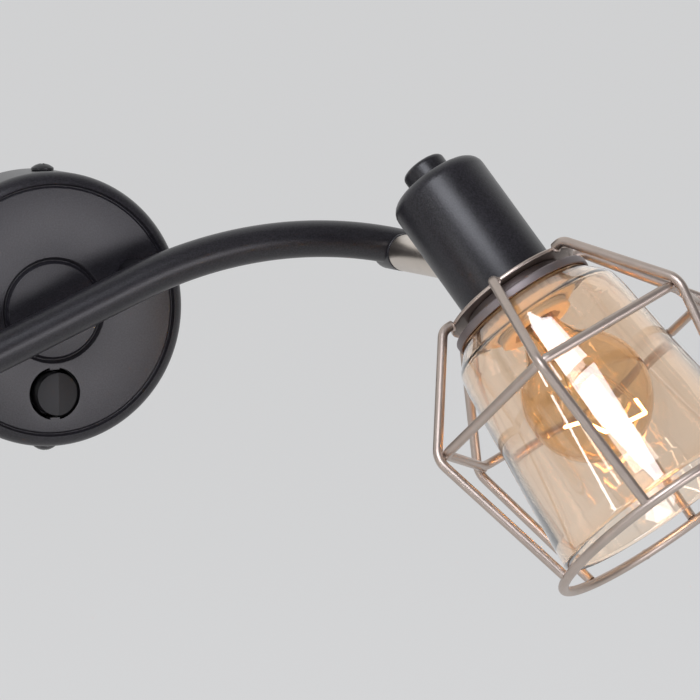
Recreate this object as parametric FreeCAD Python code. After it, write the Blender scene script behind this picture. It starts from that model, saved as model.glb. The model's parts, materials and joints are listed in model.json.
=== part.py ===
import FreeCAD, Part
import math
import os

# Lengths in millimetres. The wall is the plane y = 0, the lamp stands out toward -y,
# +x is to the right, +z is up, and the origin is the middle of the base on the wall.

# Small numbers used in sums
HALF = 0.5
TWICE = 2.0
THIRD = 1.0 / 3.0
FULL_TURN = 360.0
HALF_TURN = 180.0
QUARTER_TURN = 90.0
CUT_MARGIN = 1.0

# Sizes that drive the whole lamp
BASE_R = 50.0
BASE_DEPTH = 27.0
TUBE_R = 6.75
HEAD_R = 18.05
CAGE_R = 58.2
RING_R = 44.6

# Clearances
WELD_GAP = 0.02
RUN_GAP = 0.05
SLIDE_GAP = 0.1
LOOSE_GAP = 0.3
GLASS_IN_RING = 4.4
SWITCH_IN_FACE = 13.05
POST_IN_BASE = 20.3
EAR_IN_COVER = 2.2

# Base cover, a deep-drawn pan
COVER_WALL = 1.2
COVER_BACK_Y = 0.4
RIM_ROUND = 5.6
RIM_CREST = 0.8
RIM_W = 4.8
GROOVE_OUT_W = 0.8
GROOVE_IN_W = 1.1
GROOVE_OUT_R = BASE_R - RIM_W
GROOVE_MID_R = GROOVE_OUT_R - GROOVE_OUT_W
FACE_EDGE_R = GROOVE_MID_R - GROOVE_IN_W
GROOVE_DEPTH = 0.9
COVER_SCREW_Y = 14.0
COVER_HOLE_R = 2.2

# Wall bracket, one bent sheet
SHEET = 1.5
STRAP_HALF_W = 12.0
BAR_HALF_H = 10.0
EAR_DEPTH = 20.0
EAR_Z = BASE_R - COVER_WALL - EAR_IN_COVER
SLOT_R = 2.6
SLOT_HALF_L = 4.4
SLOT_X = 30.0
BAR_END = 1.0
BAR_HALF_L = SLOT_X + SLOT_HALF_L + SLOT_R + BAR_END
CABLE_HOLE_R = 8.0
BRACKET_THREAD_R = 2.0

# Cover screws
SCREW_SHANK_R = 2.0
SCREW_LENGTH = 7.0
SCREW_HEAD_R = 4.1
SCREW_HEAD_H = 2.5
SCREW_HEAD_EDGE = 0.9
CROSS_W = 0.9
CROSS_L = 4.4
CROSS_DEPTH = 1.3

# Round rocker switch
SWITCH_Z = SWITCH_IN_FACE - FACE_EDGE_R
SWITCH_HOLE_R = 9.6
SWITCH_TAB_HALF_W = 1.8
SWITCH_TAB_H = 0.85
BEZEL_R = 9.4
BEZEL_IN_R = 8.4
BEZEL_PROUD = 0.35
BEZEL_DEPTH = 2.0
SWITCH_BODY_R = 8.9
SWITCH_BODY_BACK = 8.5
SWITCH_POCKET_DEPTH = 7.6
SWITCH_NOTCH_HALF_W = 2.1
ROCKER_R = 7.75
ROCKER_PIVOT_DEPTH = 4.2
ROCKER_CREST = 2.4
ROCKER_EDGE = 1.3
ROCKER_BACK = 2.2
ROCKER_REST_DEG = 6.0
AXLE_R = 0.9
AXLE_HALF_L = 8.6
SPADE_HALF_W = 1.6
SPADE_HALF_T = 0.4
SPADE_L = 4.0
SPADE_X = 4.4

# Ring groove in the face, between its middle and the switch
RING_GROOVE_GAP = 1.35
RING_GROOVE_W = 2.4
RING_GROOVE_OUT_R = -SWITCH_Z - SWITCH_HOLE_R - RING_GROOVE_GAP
RING_GROOVE_IN_R = RING_GROOVE_OUT_R - RING_GROOVE_W
RING_GROOVE_DEPTH = 1.0
RING_GROOVE_SLOPE = 0.45

# Terminal block on the bracket
BLOCK_HALF_X = 10.0
BLOCK_HALF_Z = 5.0
BLOCK_DEPTH = 12.0
BLOCK_Z = 27.0
BLOCK_BORE_R = 1.9
BLOCK_SCREW_R = 1.7
BLOCK_POLE_X = 5.0
BLOCK_BORE_DEPTH = 5.0
BLOCK_SCREW_DEPTH = 3.5

# Arm, a bent tube in a plane parallel to the wall
ARM_Y = 48.0
ARM_BORE_R = 5.45
ARM_SLOPE_DEG = 24.1
ARM_BEND_R = 164.6
ARM_CREST_X = 91.0
ARM_END_X = 129.5
ARM_PLUG_X = 117.0
ARM_END_ROUND = 1.6

# Posts between base and arm
POST_X = BASE_R - POST_IN_BASE
POST_R = 5.0
POST_BORE_R = 2.6
POST_SPIGOT_R = 4.0
POST_SPIGOT_L = 8.0
POST_NUT_R = 7.0
POST_NUT_H = 4.0

# Hubs on the arm ends
HUB_X = 125.6
HUB_Z = 19.45
HUB_R = 6.85
HUB_BACK_Y = 39.2
HUB_FRONT_Y = 55.4
HUB_FACE = 4.6
HUB_CAVITY_R = 5.6
HUB_END = 2.0
HUB_ROUND = 3.0
HUB_WIRE_R = 3.2

# Swivel stem
STEM_R = 6.75
STEM_START_Y = 56.0
SPIGOT_R = 4.6
SPIGOT_NUT_R = 5.3
SPIGOT_NUT_H = 3.0
STEM_BORE_R = 2.6
STEM_EDGE = 0.5
WASHER_GAP = 0.06
PIVOT_Y = 103.25
FORK_GAP = 4.8
FORK_FLOOR = 7.5
FORK_FLAT = 5.5
FORK_FLAT_R = 4.3

# Tilt screw, threaded into the far cheek of the fork
TILT_SHANK_R = 2.0
TILT_HEAD_R = 3.7
TILT_HEAD_H = 2.2

# Head pose in the photograph
TILT_DEG = 58.4
PAN_RIGHT_DEG = -63.1
PAN_LEFT_DEG = -116.9
RIB_FIRST_DEG = 26.9

# Head: distances along its axis, measured from the tilt pivot
PIVOT_OFF = 26.0
LUG_HALF_T = 2.3
LUG_EYE_R = 6.0
LUG_BASE_HALF_H = 8.5
LUG_BASE_R = PIVOT_OFF - STEM_R - LOOSE_GAP
LUG_BASE_HALF_W = 6.0
CUP_TOP = -22.8
CUP_MOUTH = 25.0
CUP_WALL = 1.2
CUP_ROUND = 5.0
CUP_ROUND_IN = 3.8
CAP_R = 8.05
CAP_H = 7.0
CAP_ROUND = 1.7
CAP_SPIGOT_R = 4.0
CAP_SPIGOT_L = 4.5

# Lampholder
HOLDER_R = 13.9
HOLDER_TOP = -9.0
HOLDER_MOUTH = 41.0
HOLDER_FLANGE_R = 16.4
HOLDER_FLANGE_H = 2.4
HOLDER_FLANGE_AT = CUP_MOUTH - HOLDER_FLANGE_H
HOLDER_BORE_R = 7.35
HOLDER_FLOOR = 12.0
HOLDER_MOUTH_R = 9.2
HOLDER_MOUTH_L = 9.0
SHADE_RING_R = 19.5
SHADE_RING_H = 4.6
SHADE_RING_LIP_R = 15.8
SHADE_RING_LIP_H = 2.6

# Cage
WIRE_R = 1.7
PLATE_R = 25.4
PLATE_T = 1.0
PLATE_H = 3.2
PLATE_HOLE_R = 14.1
PLATE_EDGE = 0.6
RIBS = 6
RIB_BELOW_PLATE_TOP = 0.4
RIB_NECK_OUT = 4.0
RIB_NECK_R = PLATE_R + RIB_NECK_OUT
RIB_NECK_BEND = 5.0
HEX_AT = 63.3
RIB_BEND = 8.0
RING_AT = 120.4
HEX_BEND = 6.0

# Dish above the glass, spaced from the plate by its own collar
DISH_PROUD = 1.2
DISH_R = PLATE_R + DISH_PROUD
DISH_TOP = 30.2
DISH_H = 3.1
DISH_WALL = 0.9
DISH_HOLE_R = 14.1
DISH_LIP = 0.5
DISH_COLLAR_R = 18.6

# Glass shade
GLASS_TOP = DISH_TOP + DISH_WALL + SLIDE_GAP
GLASS_T = 2.2
GLASS_HOLE_R = 14.5
GLASS_NECK_R = DISH_R - DISH_WALL - LOOSE_GAP
GLASS_NECK_AT = DISH_TOP + DISH_H + LOOSE_GAP
GLASS_SHOULDER_R = 31.7
GLASS_SHOULDER_AT = 40.6
GLASS_SIDE_R = 33.0
GLASS_SIDE_AT = 47.5
GLASS_MOUTH_R = RING_R - GLASS_IN_RING
GLASS_MOUTH_AT = 116.0
GLASS_RIM_T = 3.0
SHOULDER_BULGE = -0.2

# Bulb
BULB_CAP_R = 6.95
BULB_TIP_AT = 15.0
BULB_TIP_R = 2.4
BULB_TIP_H = 2.0
BULB_CAP_AT = 19.5
BULB_CAP_L = 19.5
BULB_CAP_BORE_R = 6.2
BULB_SHELL_T = 0.8
BULB_NECK_R = 6.9
BULB_NECK_AT = BULB_CAP_AT + BULB_CAP_L
BULB_BALL_R = 22.5
BULB_BALL_AT = 70.0
BULB_THROAT_R = 11.5
BULB_THROAT_AT = 49.0
THROAT_BULGE = 0.08
PRESS_R = 3.0
PRESS_AT = 40.0
PRESS_L = 19.0
LEAD_R = 0.45
LEAD_SPREAD = 11.0
LEAD_TOP_AT = 70.0
COIL_R = 0.6
COIL_BEND = 3.0


def vec(x, y, z):
    return FreeCAD.Vector(x, y, z)


X_DIR = vec(1, 0, 0)
Y_DIR = vec(0, 1, 0)
Z_DIR = vec(0, 0, 1)
OUT_DIR = vec(0, -1, 0)


def save(name, shape):
    """Write one piece, as a single solid."""
    solids = shape.Solids
    if len(solids) != 1:
        raise RuntimeError("piece %s has %d solids" % (name, len(solids)))
    solids[0].exportStep("parts/%s.step" % name)


def post(radius, start, end, at=None, along=None):
    """A round bar between two heights along an axis."""
    axis = along or Z_DIR
    origin = at or vec(0, 0, 0)
    return Part.makeCylinder(radius, end - start, origin + axis * start, axis)


def slab(x0, x1, y0, y1, z0, z1):
    """A box between two corners."""
    return Part.makeBox(x1 - x0, y1 - y0, z1 - z0, vec(x0, y0, z0))


def turned(points):
    """A solid of revolution about z. Points are (radius, height) or three-point arcs
    given as a (radius, height, via_radius, via_height) entry."""
    edges = []
    last = points[0]
    for point in list(points[1:]) + [points[0]]:
        a = vec(last[0], 0, last[1])
        b = vec(point[0], 0, point[1])
        via = point[len(points[0]):]
        if via:
            mid = vec(via[0], 0, via[1])
            edges.append(Part.Arc(a, mid, b).toShape())
        elif a.distanceToPoint(b) > 0:
            edges.append(Part.makeLine(a, b))
        last = point
    face = Part.Face(Part.Wire(edges))
    return face.revolve(vec(0, 0, 0), Z_DIR, FULL_TURN)


def arc_via(a, b, bulge):
    """The middle point of an arc from a to b that bulges sideways by a share of its chord."""
    mx = (a[0] + b[0]) * HALF
    mz = (a[1] + b[1]) * HALF
    return (mx - (b[1] - a[1]) * bulge, mz + (b[0] - a[0]) * bulge)


def disc_face(radius, at, along):
    return Part.Face(Part.Wire(Part.makeCircle(radius, at, along)))


def rod(corners, bends, radius, closed=False):
    """A round rod along straight lines with rounded corners, made of swept pieces."""
    pts = [vec(*c) for c in corners]
    if closed:
        start = (pts[0] + pts[-1]) * HALF
        pts = [start] + pts + [start]
        bends = [0] + list(bends) + [0]
    else:
        bends = [0] + list(bends) + [0]
    pieces = []
    here = pts[0]
    for i in range(1, len(pts)):
        ahead = pts[i]
        heading = (ahead - pts[i - 1]).normalize()
        if i + 1 < len(pts):
            leaving = (pts[i + 1] - ahead).normalize()
            turn = heading.getAngle(leaving)
            back = bends[i] * math.tan(turn * HALF)
        else:
            leaving, turn, back = heading, 0, 0
        stop = ahead - heading * back
        pieces.append(disc_face(radius, here, heading).extrude(stop - here))
        here = stop
        if turn > 0:
            axis = heading.cross(leaving).normalize()
            centre = stop + axis.cross(heading) * bends[i]
            bend = disc_face(radius, stop, heading).revolve(centre, axis, math.degrees(turn))
            pieces.append(bend)
            here = ahead + leaving * back
    whole = pieces[0].fuse(pieces[1:])
    return whole.removeSplitter()


def placed(shape, columns, origin):
    """Move a shape from a local frame, given as three axis vectors, into the lamp's frame."""
    ax, ay, az = columns
    matrix = FreeCAD.Matrix(ax.x, ay.x, az.x, origin.x,
                            ax.y, ay.y, az.y, origin.y,
                            ax.z, ay.z, az.z, origin.z,
                            0, 0, 0, 1)
    moved = shape.copy()
    moved.Placement = FreeCAD.Placement(matrix).multiply(moved.Placement)
    return moved


def facing_out(shape):
    """Turn a shape made about z so that its z axis points out of the wall."""
    return placed(shape, (X_DIR, Z_DIR, OUT_DIR), vec(0, 0, 0))


def hexagon(radius, start, end):
    points = []
    for k in range(RIBS + 1):
        a = math.radians(k * FULL_TURN / RIBS)
        points.append(vec(radius * math.cos(a), radius * math.sin(a), start))
    return Part.Face(Part.makePolygon(points)).extrude(vec(0, 0, end - start))


# Base

def base_cover():
    """The pan: turned shell with a rounded rim, an edge groove and a ring groove."""
    face = BASE_DEPTH
    crest = BASE_DEPTH + RIM_CREST
    floor = BASE_DEPTH - GROOVE_DEPTH
    ring_floor = BASE_DEPTH - RING_GROOVE_DEPTH
    crest_r = BASE_R - RIM_ROUND
    slope = RING_GROOVE_SLOPE
    via = (BASE_R - RIM_ROUND * (1 - math.sqrt(HALF)), crest - RIM_ROUND * (1 - math.sqrt(HALF)))
    t = COVER_WALL
    in_round = RIM_ROUND - t
    in_via = (BASE_R - t - in_round * (1 - math.sqrt(HALF)),
              crest - t - in_round * (1 - math.sqrt(HALF)))
    outline = [
        (BASE_R, COVER_BACK_Y),
        (BASE_R, crest - RIM_ROUND),
        (crest_r, crest, via[0], via[1]),
        (GROOVE_OUT_R, floor + GROOVE_DEPTH),
        (GROOVE_MID_R, floor),
        (FACE_EDGE_R, face),
        (RING_GROOVE_OUT_R, face),
        (RING_GROOVE_OUT_R - slope, ring_floor),
        (RING_GROOVE_IN_R + slope, ring_floor),
        (RING_GROOVE_IN_R, face),
        (0, face),
        (0, face - t),
        (RING_GROOVE_IN_R - t, face - t),
        (RING_GROOVE_IN_R - t + slope, ring_floor - t),
        (RING_GROOVE_OUT_R + t - slope, ring_floor - t),
        (RING_GROOVE_OUT_R + t, face - t),
        (FACE_EDGE_R - t, face - t),
        (GROOVE_MID_R, floor - t),
        (crest_r, crest - t),
        (BASE_R - t, crest - RIM_ROUND, in_via[0], in_via[1]),
        (BASE_R - t, COVER_BACK_Y),
    ]
    pan = facing_out(turned(outline))
    for side in (1, -1):
        hole = post(COVER_HOLE_R, 0, BASE_R + CUT_MARGIN, vec(0, -COVER_SCREW_Y, 0), Z_DIR * side)
        pan = pan.cut(hole)
        at = vec(POST_X * side, 0, arm_height(POST_X) * side)
        pan = pan.cut(post(POST_SPIGOT_R + SLIDE_GAP, 0, BASE_DEPTH + CUT_MARGIN, at, OUT_DIR))
    hole = post(SWITCH_HOLE_R, 0, BASE_DEPTH + CUT_MARGIN, vec(0, 0, SWITCH_Z), OUT_DIR)
    for side in (1, -1):
        inner = SWITCH_Z + (SWITCH_HOLE_R - SWITCH_TAB_H) * side
        outer = SWITCH_Z + (SWITCH_HOLE_R + CUT_MARGIN) * side
        hole = hole.cut(slab(-SWITCH_TAB_HALF_W, SWITCH_TAB_HALF_W, -BASE_DEPTH - TWICE, 0,
                             min(inner, outer), max(inner, outer)))
    return pan.cut(hole)


def wall_bracket():
    """Cross-shaped sheet with two bent ears, slotted for the wall screws."""
    plate = slab(-STRAP_HALF_W, STRAP_HALF_W, -SHEET, 0, -EAR_Z, EAR_Z)
    plate = plate.fuse(slab(-BAR_HALF_L, BAR_HALF_L, -SHEET, 0, -BAR_HALF_H, BAR_HALF_H))
    for side in (1, -1):
        low = min(EAR_Z * side, (EAR_Z - SHEET) * side)
        ear = slab(-BAR_HALF_H, BAR_HALF_H, -EAR_DEPTH, 0, low, low + SHEET)
        plate = plate.fuse(ear)
    for side in (1, -1):
        thread = post(BRACKET_THREAD_R, 0, BASE_R, vec(0, -COVER_SCREW_Y, 0), Z_DIR * side)
        plate = plate.cut(thread)
        slot = slab(SLOT_X * side - SLOT_HALF_L + SLOT_R, SLOT_X * side + SLOT_HALF_L - SLOT_R,
                    -SHEET - CUT_MARGIN, CUT_MARGIN, -SLOT_R, SLOT_R)
        for end in (1, -1):
            at = vec(SLOT_X * side + (SLOT_HALF_L - SLOT_R) * end, CUT_MARGIN, 0)
            slot = slot.fuse(post(SLOT_R, 0, SHEET + TWICE * CUT_MARGIN, at, OUT_DIR))
        plate = plate.cut(slot)
    plate = plate.cut(post(CABLE_HOLE_R, 0, SHEET + CUT_MARGIN, vec(0, 0, 0), OUT_DIR))
    return plate.removeSplitter()


def cover_screw(side):
    """Domed cross-head screw, driven in from above or below."""
    under = BASE_R + RUN_GAP
    head = turned([
        (0, under), (SCREW_HEAD_R, under), (SCREW_HEAD_R, under + SCREW_HEAD_EDGE),
        (0, under + SCREW_HEAD_H) + dome_via(SCREW_HEAD_R, under + SCREW_HEAD_EDGE,
                                             under + SCREW_HEAD_H),
    ])
    shank = post(SCREW_SHANK_R, under - SCREW_LENGTH, under + SCREW_HEAD_EDGE)
    screw = head.fuse(shank)
    top = under + SCREW_HEAD_H
    for across, along in ((CROSS_W, CROSS_L), (CROSS_L, CROSS_W)):
        screw = screw.cut(slab(-across * HALF, across * HALF, -along * HALF, along * HALF,
                               top - CROSS_DEPTH, top + CUT_MARGIN))
    columns = (X_DIR, Y_DIR, Z_DIR) if side > 0 else (X_DIR, Y_DIR * -1, Z_DIR * -1)
    return placed(screw.removeSplitter(), columns, vec(0, -COVER_SCREW_Y, 0))


def dome_via(radius, low, high):
    """A point on the way from a rim up to the crown of a dome."""
    return (radius * math.sin(math.radians(QUARTER_TURN * HALF)),
            low + (high - low) * math.cos(math.radians(QUARTER_TURN * HALF)))


def switch_body():
    """Snap-in body with its bezel ring, a pocket for the rocker and two contact tongues."""
    face = BASE_DEPTH
    ring = turned([
        (BEZEL_IN_R, face - BEZEL_DEPTH), (BEZEL_R, face - BEZEL_DEPTH),
        (BEZEL_R, face + BEZEL_PROUD * HALF), (BEZEL_R - BEZEL_PROUD, face + BEZEL_PROUD),
        (BEZEL_IN_R + BEZEL_PROUD, face + BEZEL_PROUD), (BEZEL_IN_R, face + BEZEL_PROUD * HALF),
    ])
    body = turned([
        (0, SWITCH_BODY_BACK), (SWITCH_BODY_R, SWITCH_BODY_BACK),
        (SWITCH_BODY_R, face - COVER_WALL - SLIDE_GAP),
        (SWITCH_BODY_R, face - BEZEL_DEPTH * HALF), (BEZEL_IN_R, face - BEZEL_DEPTH * HALF),
        (BEZEL_IN_R, face - SWITCH_POCKET_DEPTH), (0, face - SWITCH_POCKET_DEPTH),
    ])
    body = body.fuse(ring)
    for side in (1, -1):
        inner, outer = BEZEL_IN_R * side, (BEZEL_R + CUT_MARGIN) * side
        notch_in = (SWITCH_HOLE_R - SWITCH_TAB_H - SLIDE_GAP) * side
        body = body.cut(slab(-SWITCH_NOTCH_HALF_W, SWITCH_NOTCH_HALF_W,
                             min(notch_in, outer), max(notch_in, outer),
                             face - BEZEL_DEPTH - CUT_MARGIN, face + CUT_MARGIN))
        body = body.cut(post(AXLE_R + RUN_GAP, 0, AXLE_HALF_L + SLIDE_GAP,
                             vec(0, 0, face - ROCKER_PIVOT_DEPTH), Y_DIR * side))
        x = SPADE_X * side
        body = body.fuse(slab(x - SPADE_HALF_W, x + SPADE_HALF_W, -SPADE_HALF_T, SPADE_HALF_T,
                              SWITCH_BODY_BACK - SPADE_L, SWITCH_BODY_BACK))
    return facing_out(body.removeSplitter()).translated(vec(0, 0, SWITCH_Z))


def switch_rocker():
    """Round rocker with two flats meeting in a ridge, tipped to its rest position."""
    pivot = BASE_DEPTH - ROCKER_PIVOT_DEPTH
    crest = BASE_DEPTH + ROCKER_CREST
    edge = BASE_DEPTH + ROCKER_EDGE
    back = pivot - ROCKER_BACK
    profile = Part.makePolygon([
        vec(-ROCKER_R, 0, back), vec(ROCKER_R, 0, back), vec(ROCKER_R, 0, edge),
        vec(0, 0, crest), vec(-ROCKER_R, 0, edge), vec(-ROCKER_R, 0, back),
    ])
    wedge = Part.Face(profile).extrude(Y_DIR * (TWICE * ROCKER_R)).translated(Y_DIR * -ROCKER_R)
    lower_r = ROCKER_R - (ROCKER_CREST - ROCKER_EDGE)
    plug = turned([
        (0, back), (lower_r, back), (ROCKER_R, pivot), (ROCKER_R, edge - RUN_GAP),
        (ROCKER_R - ROCKER_EDGE * THIRD, crest), (0, crest),
    ])
    rocker = plug.common(wedge)
    rocker = rocker.fuse(post(AXLE_R, -AXLE_HALF_L, AXLE_HALF_L, vec(0, 0, pivot), Y_DIR))
    rocker = rocker.removeSplitter()
    rocker.rotate(vec(0, 0, pivot), Y_DIR, ROCKER_REST_DEG)
    return facing_out(rocker).translated(vec(0, 0, SWITCH_Z))


def terminal_block():
    """Two-pole block with wire entries below and clamp screws in front."""
    z0, z1 = BLOCK_Z - BLOCK_HALF_Z, BLOCK_Z + BLOCK_HALF_Z
    front = SHEET + BLOCK_DEPTH
    block = slab(-BLOCK_HALF_X, BLOCK_HALF_X, -front, -SHEET, z0, z1)
    for side in (1, -1):
        x = BLOCK_POLE_X * side
        mid_y = -SHEET - BLOCK_DEPTH * HALF
        for start, way in ((z0, 1), (z1, -1)):
            block = block.cut(post(BLOCK_BORE_R, 0, BLOCK_BORE_DEPTH * HALF,
                                   vec(x, mid_y, start), Z_DIR * way))
        block = block.cut(post(BLOCK_SCREW_R, 0, BLOCK_SCREW_DEPTH,
                               vec(x, -front, BLOCK_Z), Y_DIR))
    return block


# Arm

def arm_height(x):
    """Height of the arm's centre line at a distance from the middle, on the right side."""
    slope = math.radians(ARM_SLOPE_DEG)
    start_x = ARM_CREST_X - ARM_BEND_R * math.sin(slope)
    if x < start_x:
        return x * math.tan(slope)
    centre_z = arm_centre_z()
    return centre_z + math.sqrt(ARM_BEND_R ** TWICE - (x - ARM_CREST_X) ** TWICE)


def arm_centre_z():
    slope = math.radians(ARM_SLOPE_DEG)
    start_x = ARM_CREST_X - ARM_BEND_R * math.sin(slope)
    return start_x * math.tan(slope) - ARM_BEND_R * math.cos(slope)


def arm_half(radius, end_x):
    """The right half of a bar along the arm's centre line, from the middle to an end."""
    slope = math.radians(ARM_SLOPE_DEG)
    start_x = ARM_CREST_X - ARM_BEND_R * math.sin(slope)
    heading = vec(math.cos(slope), 0, math.sin(slope))
    origin = vec(0, -ARM_Y, 0)
    knee = vec(start_x, -ARM_Y, start_x * math.tan(slope))
    straight = disc_face(radius, origin, heading).extrude(knee - origin)
    sweep = ARM_SLOPE_DEG + math.degrees(math.asin((end_x - ARM_CREST_X) / ARM_BEND_R))
    centre = vec(ARM_CREST_X, -ARM_Y, arm_centre_z())
    bend = disc_face(radius, knee, heading).revolve(centre, Y_DIR, sweep)
    return straight.fuse(bend)


def turned_over(shape):
    """The left twin of a piece: the same piece turned half way round the base's axis."""
    twin = shape.copy()
    twin.rotate(vec(0, 0, 0), Y_DIR, HALF_TURN)
    return twin


def hub_blank(grow=0):
    """The hub's outer form, used for the hub itself and for trimming the tube."""
    blank = turned([
        (0, HUB_BACK_Y), (HUB_R - HUB_ROUND, HUB_BACK_Y),
        (HUB_R, HUB_BACK_Y + HUB_ROUND,
         HUB_R - HUB_ROUND * (1 - math.sqrt(HALF)), HUB_BACK_Y + HUB_ROUND * (1 - math.sqrt(HALF))),
        (HUB_R, HUB_FRONT_Y + grow), (0, HUB_FRONT_Y + grow),
    ])
    return facing_out(blank).translated(vec(HUB_X, 0, HUB_Z))


def arm_tube():
    """The wave-shaped tube, open inside, closed and rounded at both ends."""
    right = arm_half(TUBE_R, ARM_END_X)
    right = right.makeFillet(ARM_END_ROUND, end_edges(right, HUB_X))
    bore = arm_half(ARM_BORE_R, ARM_PLUG_X)
    bar = right.fuse(turned_over(right)).cut(bore.fuse(turned_over(bore)))
    blank = hub_blank(CUT_MARGIN)
    bar = bar.cut(blank).cut(turned_over(blank))
    for side in (1, -1):
        at = vec(POST_X * side, 0, arm_height(POST_X) * side)
        bar = bar.cut(post(POST_BORE_R, 0, ARM_Y, at, OUT_DIR))
    wire_way = post(HUB_WIRE_R, 0, HUB_X - ARM_PLUG_X + CUT_MARGIN,
                    vec(ARM_PLUG_X - CUT_MARGIN, -ARM_Y, arm_height(ARM_PLUG_X)), X_DIR)
    bar = bar.cut(wire_way).cut(turned_over(wire_way))
    keep = max(bar.Solids, key=lambda s: s.Volume)
    return keep.removeSplitter()


def end_edges(shape, beyond_x):
    """The round edge that closes a bar, found by its place."""
    found = []
    for edge in shape.Edges:
        box = edge.BoundBox
        if box.XMin > beyond_x and len(edge.Vertexes) == 1:
            found.append(edge)
    return found


def arm_post():
    """Hollow post from the cover face to the arm, with a threaded end behind the cover."""
    base = BASE_DEPTH
    bar = turned([
        (POST_BORE_R, base - POST_SPIGOT_L), (POST_SPIGOT_R, base - POST_SPIGOT_L),
        (POST_SPIGOT_R, base), (POST_R, base), (POST_R, ARM_Y), (POST_BORE_R, ARM_Y),
    ])
    bar = facing_out(bar).translated(vec(POST_X, 0, arm_height(POST_X)))
    return bar.cut(arm_half(TUBE_R, ARM_CREST_X))


def post_nut():
    """Hexagon nut that holds a post from inside the cover."""
    top = BASE_DEPTH - COVER_WALL
    nut = hexagon(POST_NUT_R, top - POST_NUT_H, top)
    nut = nut.cut(post(POST_SPIGOT_R, 0, BASE_DEPTH))
    return facing_out(nut).translated(vec(POST_X, 0, arm_height(POST_X)))


def hub():
    """Turned hub welded across the tube end, bored for the swivel spigot."""
    face = HUB_FRONT_Y
    inside = turned([
        (0, HUB_BACK_Y + HUB_END), (HUB_CAVITY_R, HUB_BACK_Y + HUB_END),
        (HUB_CAVITY_R, face - HUB_FACE), (SPIGOT_R + RUN_GAP, face - HUB_FACE),
        (SPIGOT_R + RUN_GAP, face + CUT_MARGIN), (0, face + CUT_MARGIN),
    ])
    body = hub_blank().cut(facing_out(inside).translated(vec(HUB_X, 0, HUB_Z)))
    wire_way = post(HUB_WIRE_R, 0, HUB_R + CUT_MARGIN,
                    vec(HUB_X - HUB_R - CUT_MARGIN, -ARM_Y, arm_height(ARM_PLUG_X)), X_DIR)
    return body.cut(wire_way)


# Frames of the two heads

def head_axes(pan_deg):
    """Local axes of a head: across toward the lug, along the tilt pin, and toward the mouth."""
    tilt, pan = math.radians(TILT_DEG), math.radians(pan_deg)
    mouth = vec(math.sin(tilt) * math.cos(pan), -math.cos(tilt), math.sin(tilt) * math.sin(pan))
    lug = vec(math.cos(tilt) * math.cos(pan), math.sin(tilt), math.cos(tilt) * math.sin(pan))
    pin = mouth.cross(lug)
    return lug, pin, mouth


def pivot_point(side):
    return vec(HUB_X * side, -PIVOT_Y, HUB_Z * side)


def head_frame(side, pan_deg):
    lug, pin, mouth = head_axes(pan_deg)
    return (lug, pin, mouth), pivot_point(side) - lug * PIVOT_OFF


def stem_frame(side, pan_deg):
    """Local axes of a stem: z out of the wall, y along the tilt pin, origin at the pivot."""
    pin = head_axes(pan_deg)[1]
    return (pin.cross(OUT_DIR), pin, OUT_DIR), pivot_point(side)


# Swivel stem, in its own frame

def swivel_stem():
    """Stem with a spigot for the hub and a forked end for the lug."""
    start = STEM_START_Y - PIVOT_Y
    spigot_end = HUB_BACK_Y + HUB_END + CUT_MARGIN - PIVOT_Y
    body = turned([
        (0, spigot_end), (SPIGOT_R, spigot_end), (SPIGOT_R, start), (STEM_R - STEM_EDGE, start),
        (STEM_R, start + STEM_EDGE), (STEM_R, STEM_R), (0, STEM_R),
    ])
    nose = post(STEM_R, -STEM_R, STEM_R, None, Y_DIR)
    block = slab(-STEM_R, STEM_R, -STEM_R, STEM_R, spigot_end, 0)
    body = body.common(nose.fuse(block))
    body = body.cut(slab(-STEM_R, STEM_R, -FORK_GAP * HALF, FORK_GAP * HALF, -FORK_FLOOR, STEM_R))
    body = body.cut(post(STEM_BORE_R, spigot_end - CUT_MARGIN, 0))
    for side in (1, -1):
        body = body.cut(post(FORK_FLAT_R, FORK_FLAT, STEM_R + CUT_MARGIN, None, Y_DIR * side))
    body = body.cut(post(TILT_SHANK_R, -STEM_R, STEM_R, None, Y_DIR))
    return body.removeSplitter()


def pan_washer():
    """Friction washer between hub and stem."""
    start = HUB_FRONT_Y + WASHER_GAP - PIVOT_Y
    end = STEM_START_Y - PIVOT_Y
    return post(STEM_R - STEM_EDGE, start, end).cut(post(SPIGOT_R, start, end))


def pan_nut():
    """Round nut that keeps the spigot in the hub."""
    end = HUB_FRONT_Y - HUB_FACE - SLIDE_GAP - PIVOT_Y
    return post(SPIGOT_NUT_R, end - SPIGOT_NUT_H, end).cut(
        post(SPIGOT_R, end - SPIGOT_NUT_H, end))


def tilt_screw():
    """Cross-head screw through fork and lug."""
    end = -FORK_FLAT
    head_top = FORK_FLAT + TILT_HEAD_H
    head = turned([
        (0, FORK_FLAT), (TILT_HEAD_R, FORK_FLAT), (TILT_HEAD_R, FORK_FLAT + SCREW_HEAD_EDGE),
        (0, head_top) + dome_via(TILT_HEAD_R, FORK_FLAT + SCREW_HEAD_EDGE, head_top),
    ])
    screw = head.fuse(post(TILT_SHANK_R, end, FORK_FLAT))
    for across, along in ((CROSS_W, CROSS_L), (CROSS_L, CROSS_W)):
        screw = screw.cut(slab(-across * HALF, across * HALF, -along * HALF, along * HALF,
                               head_top - CROSS_DEPTH, head_top + CUT_MARGIN))
    return placed(screw.removeSplitter(), (Z_DIR, X_DIR, Y_DIR), vec(0, 0, 0))


# Head, in its own frame with z toward the mouth

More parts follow.
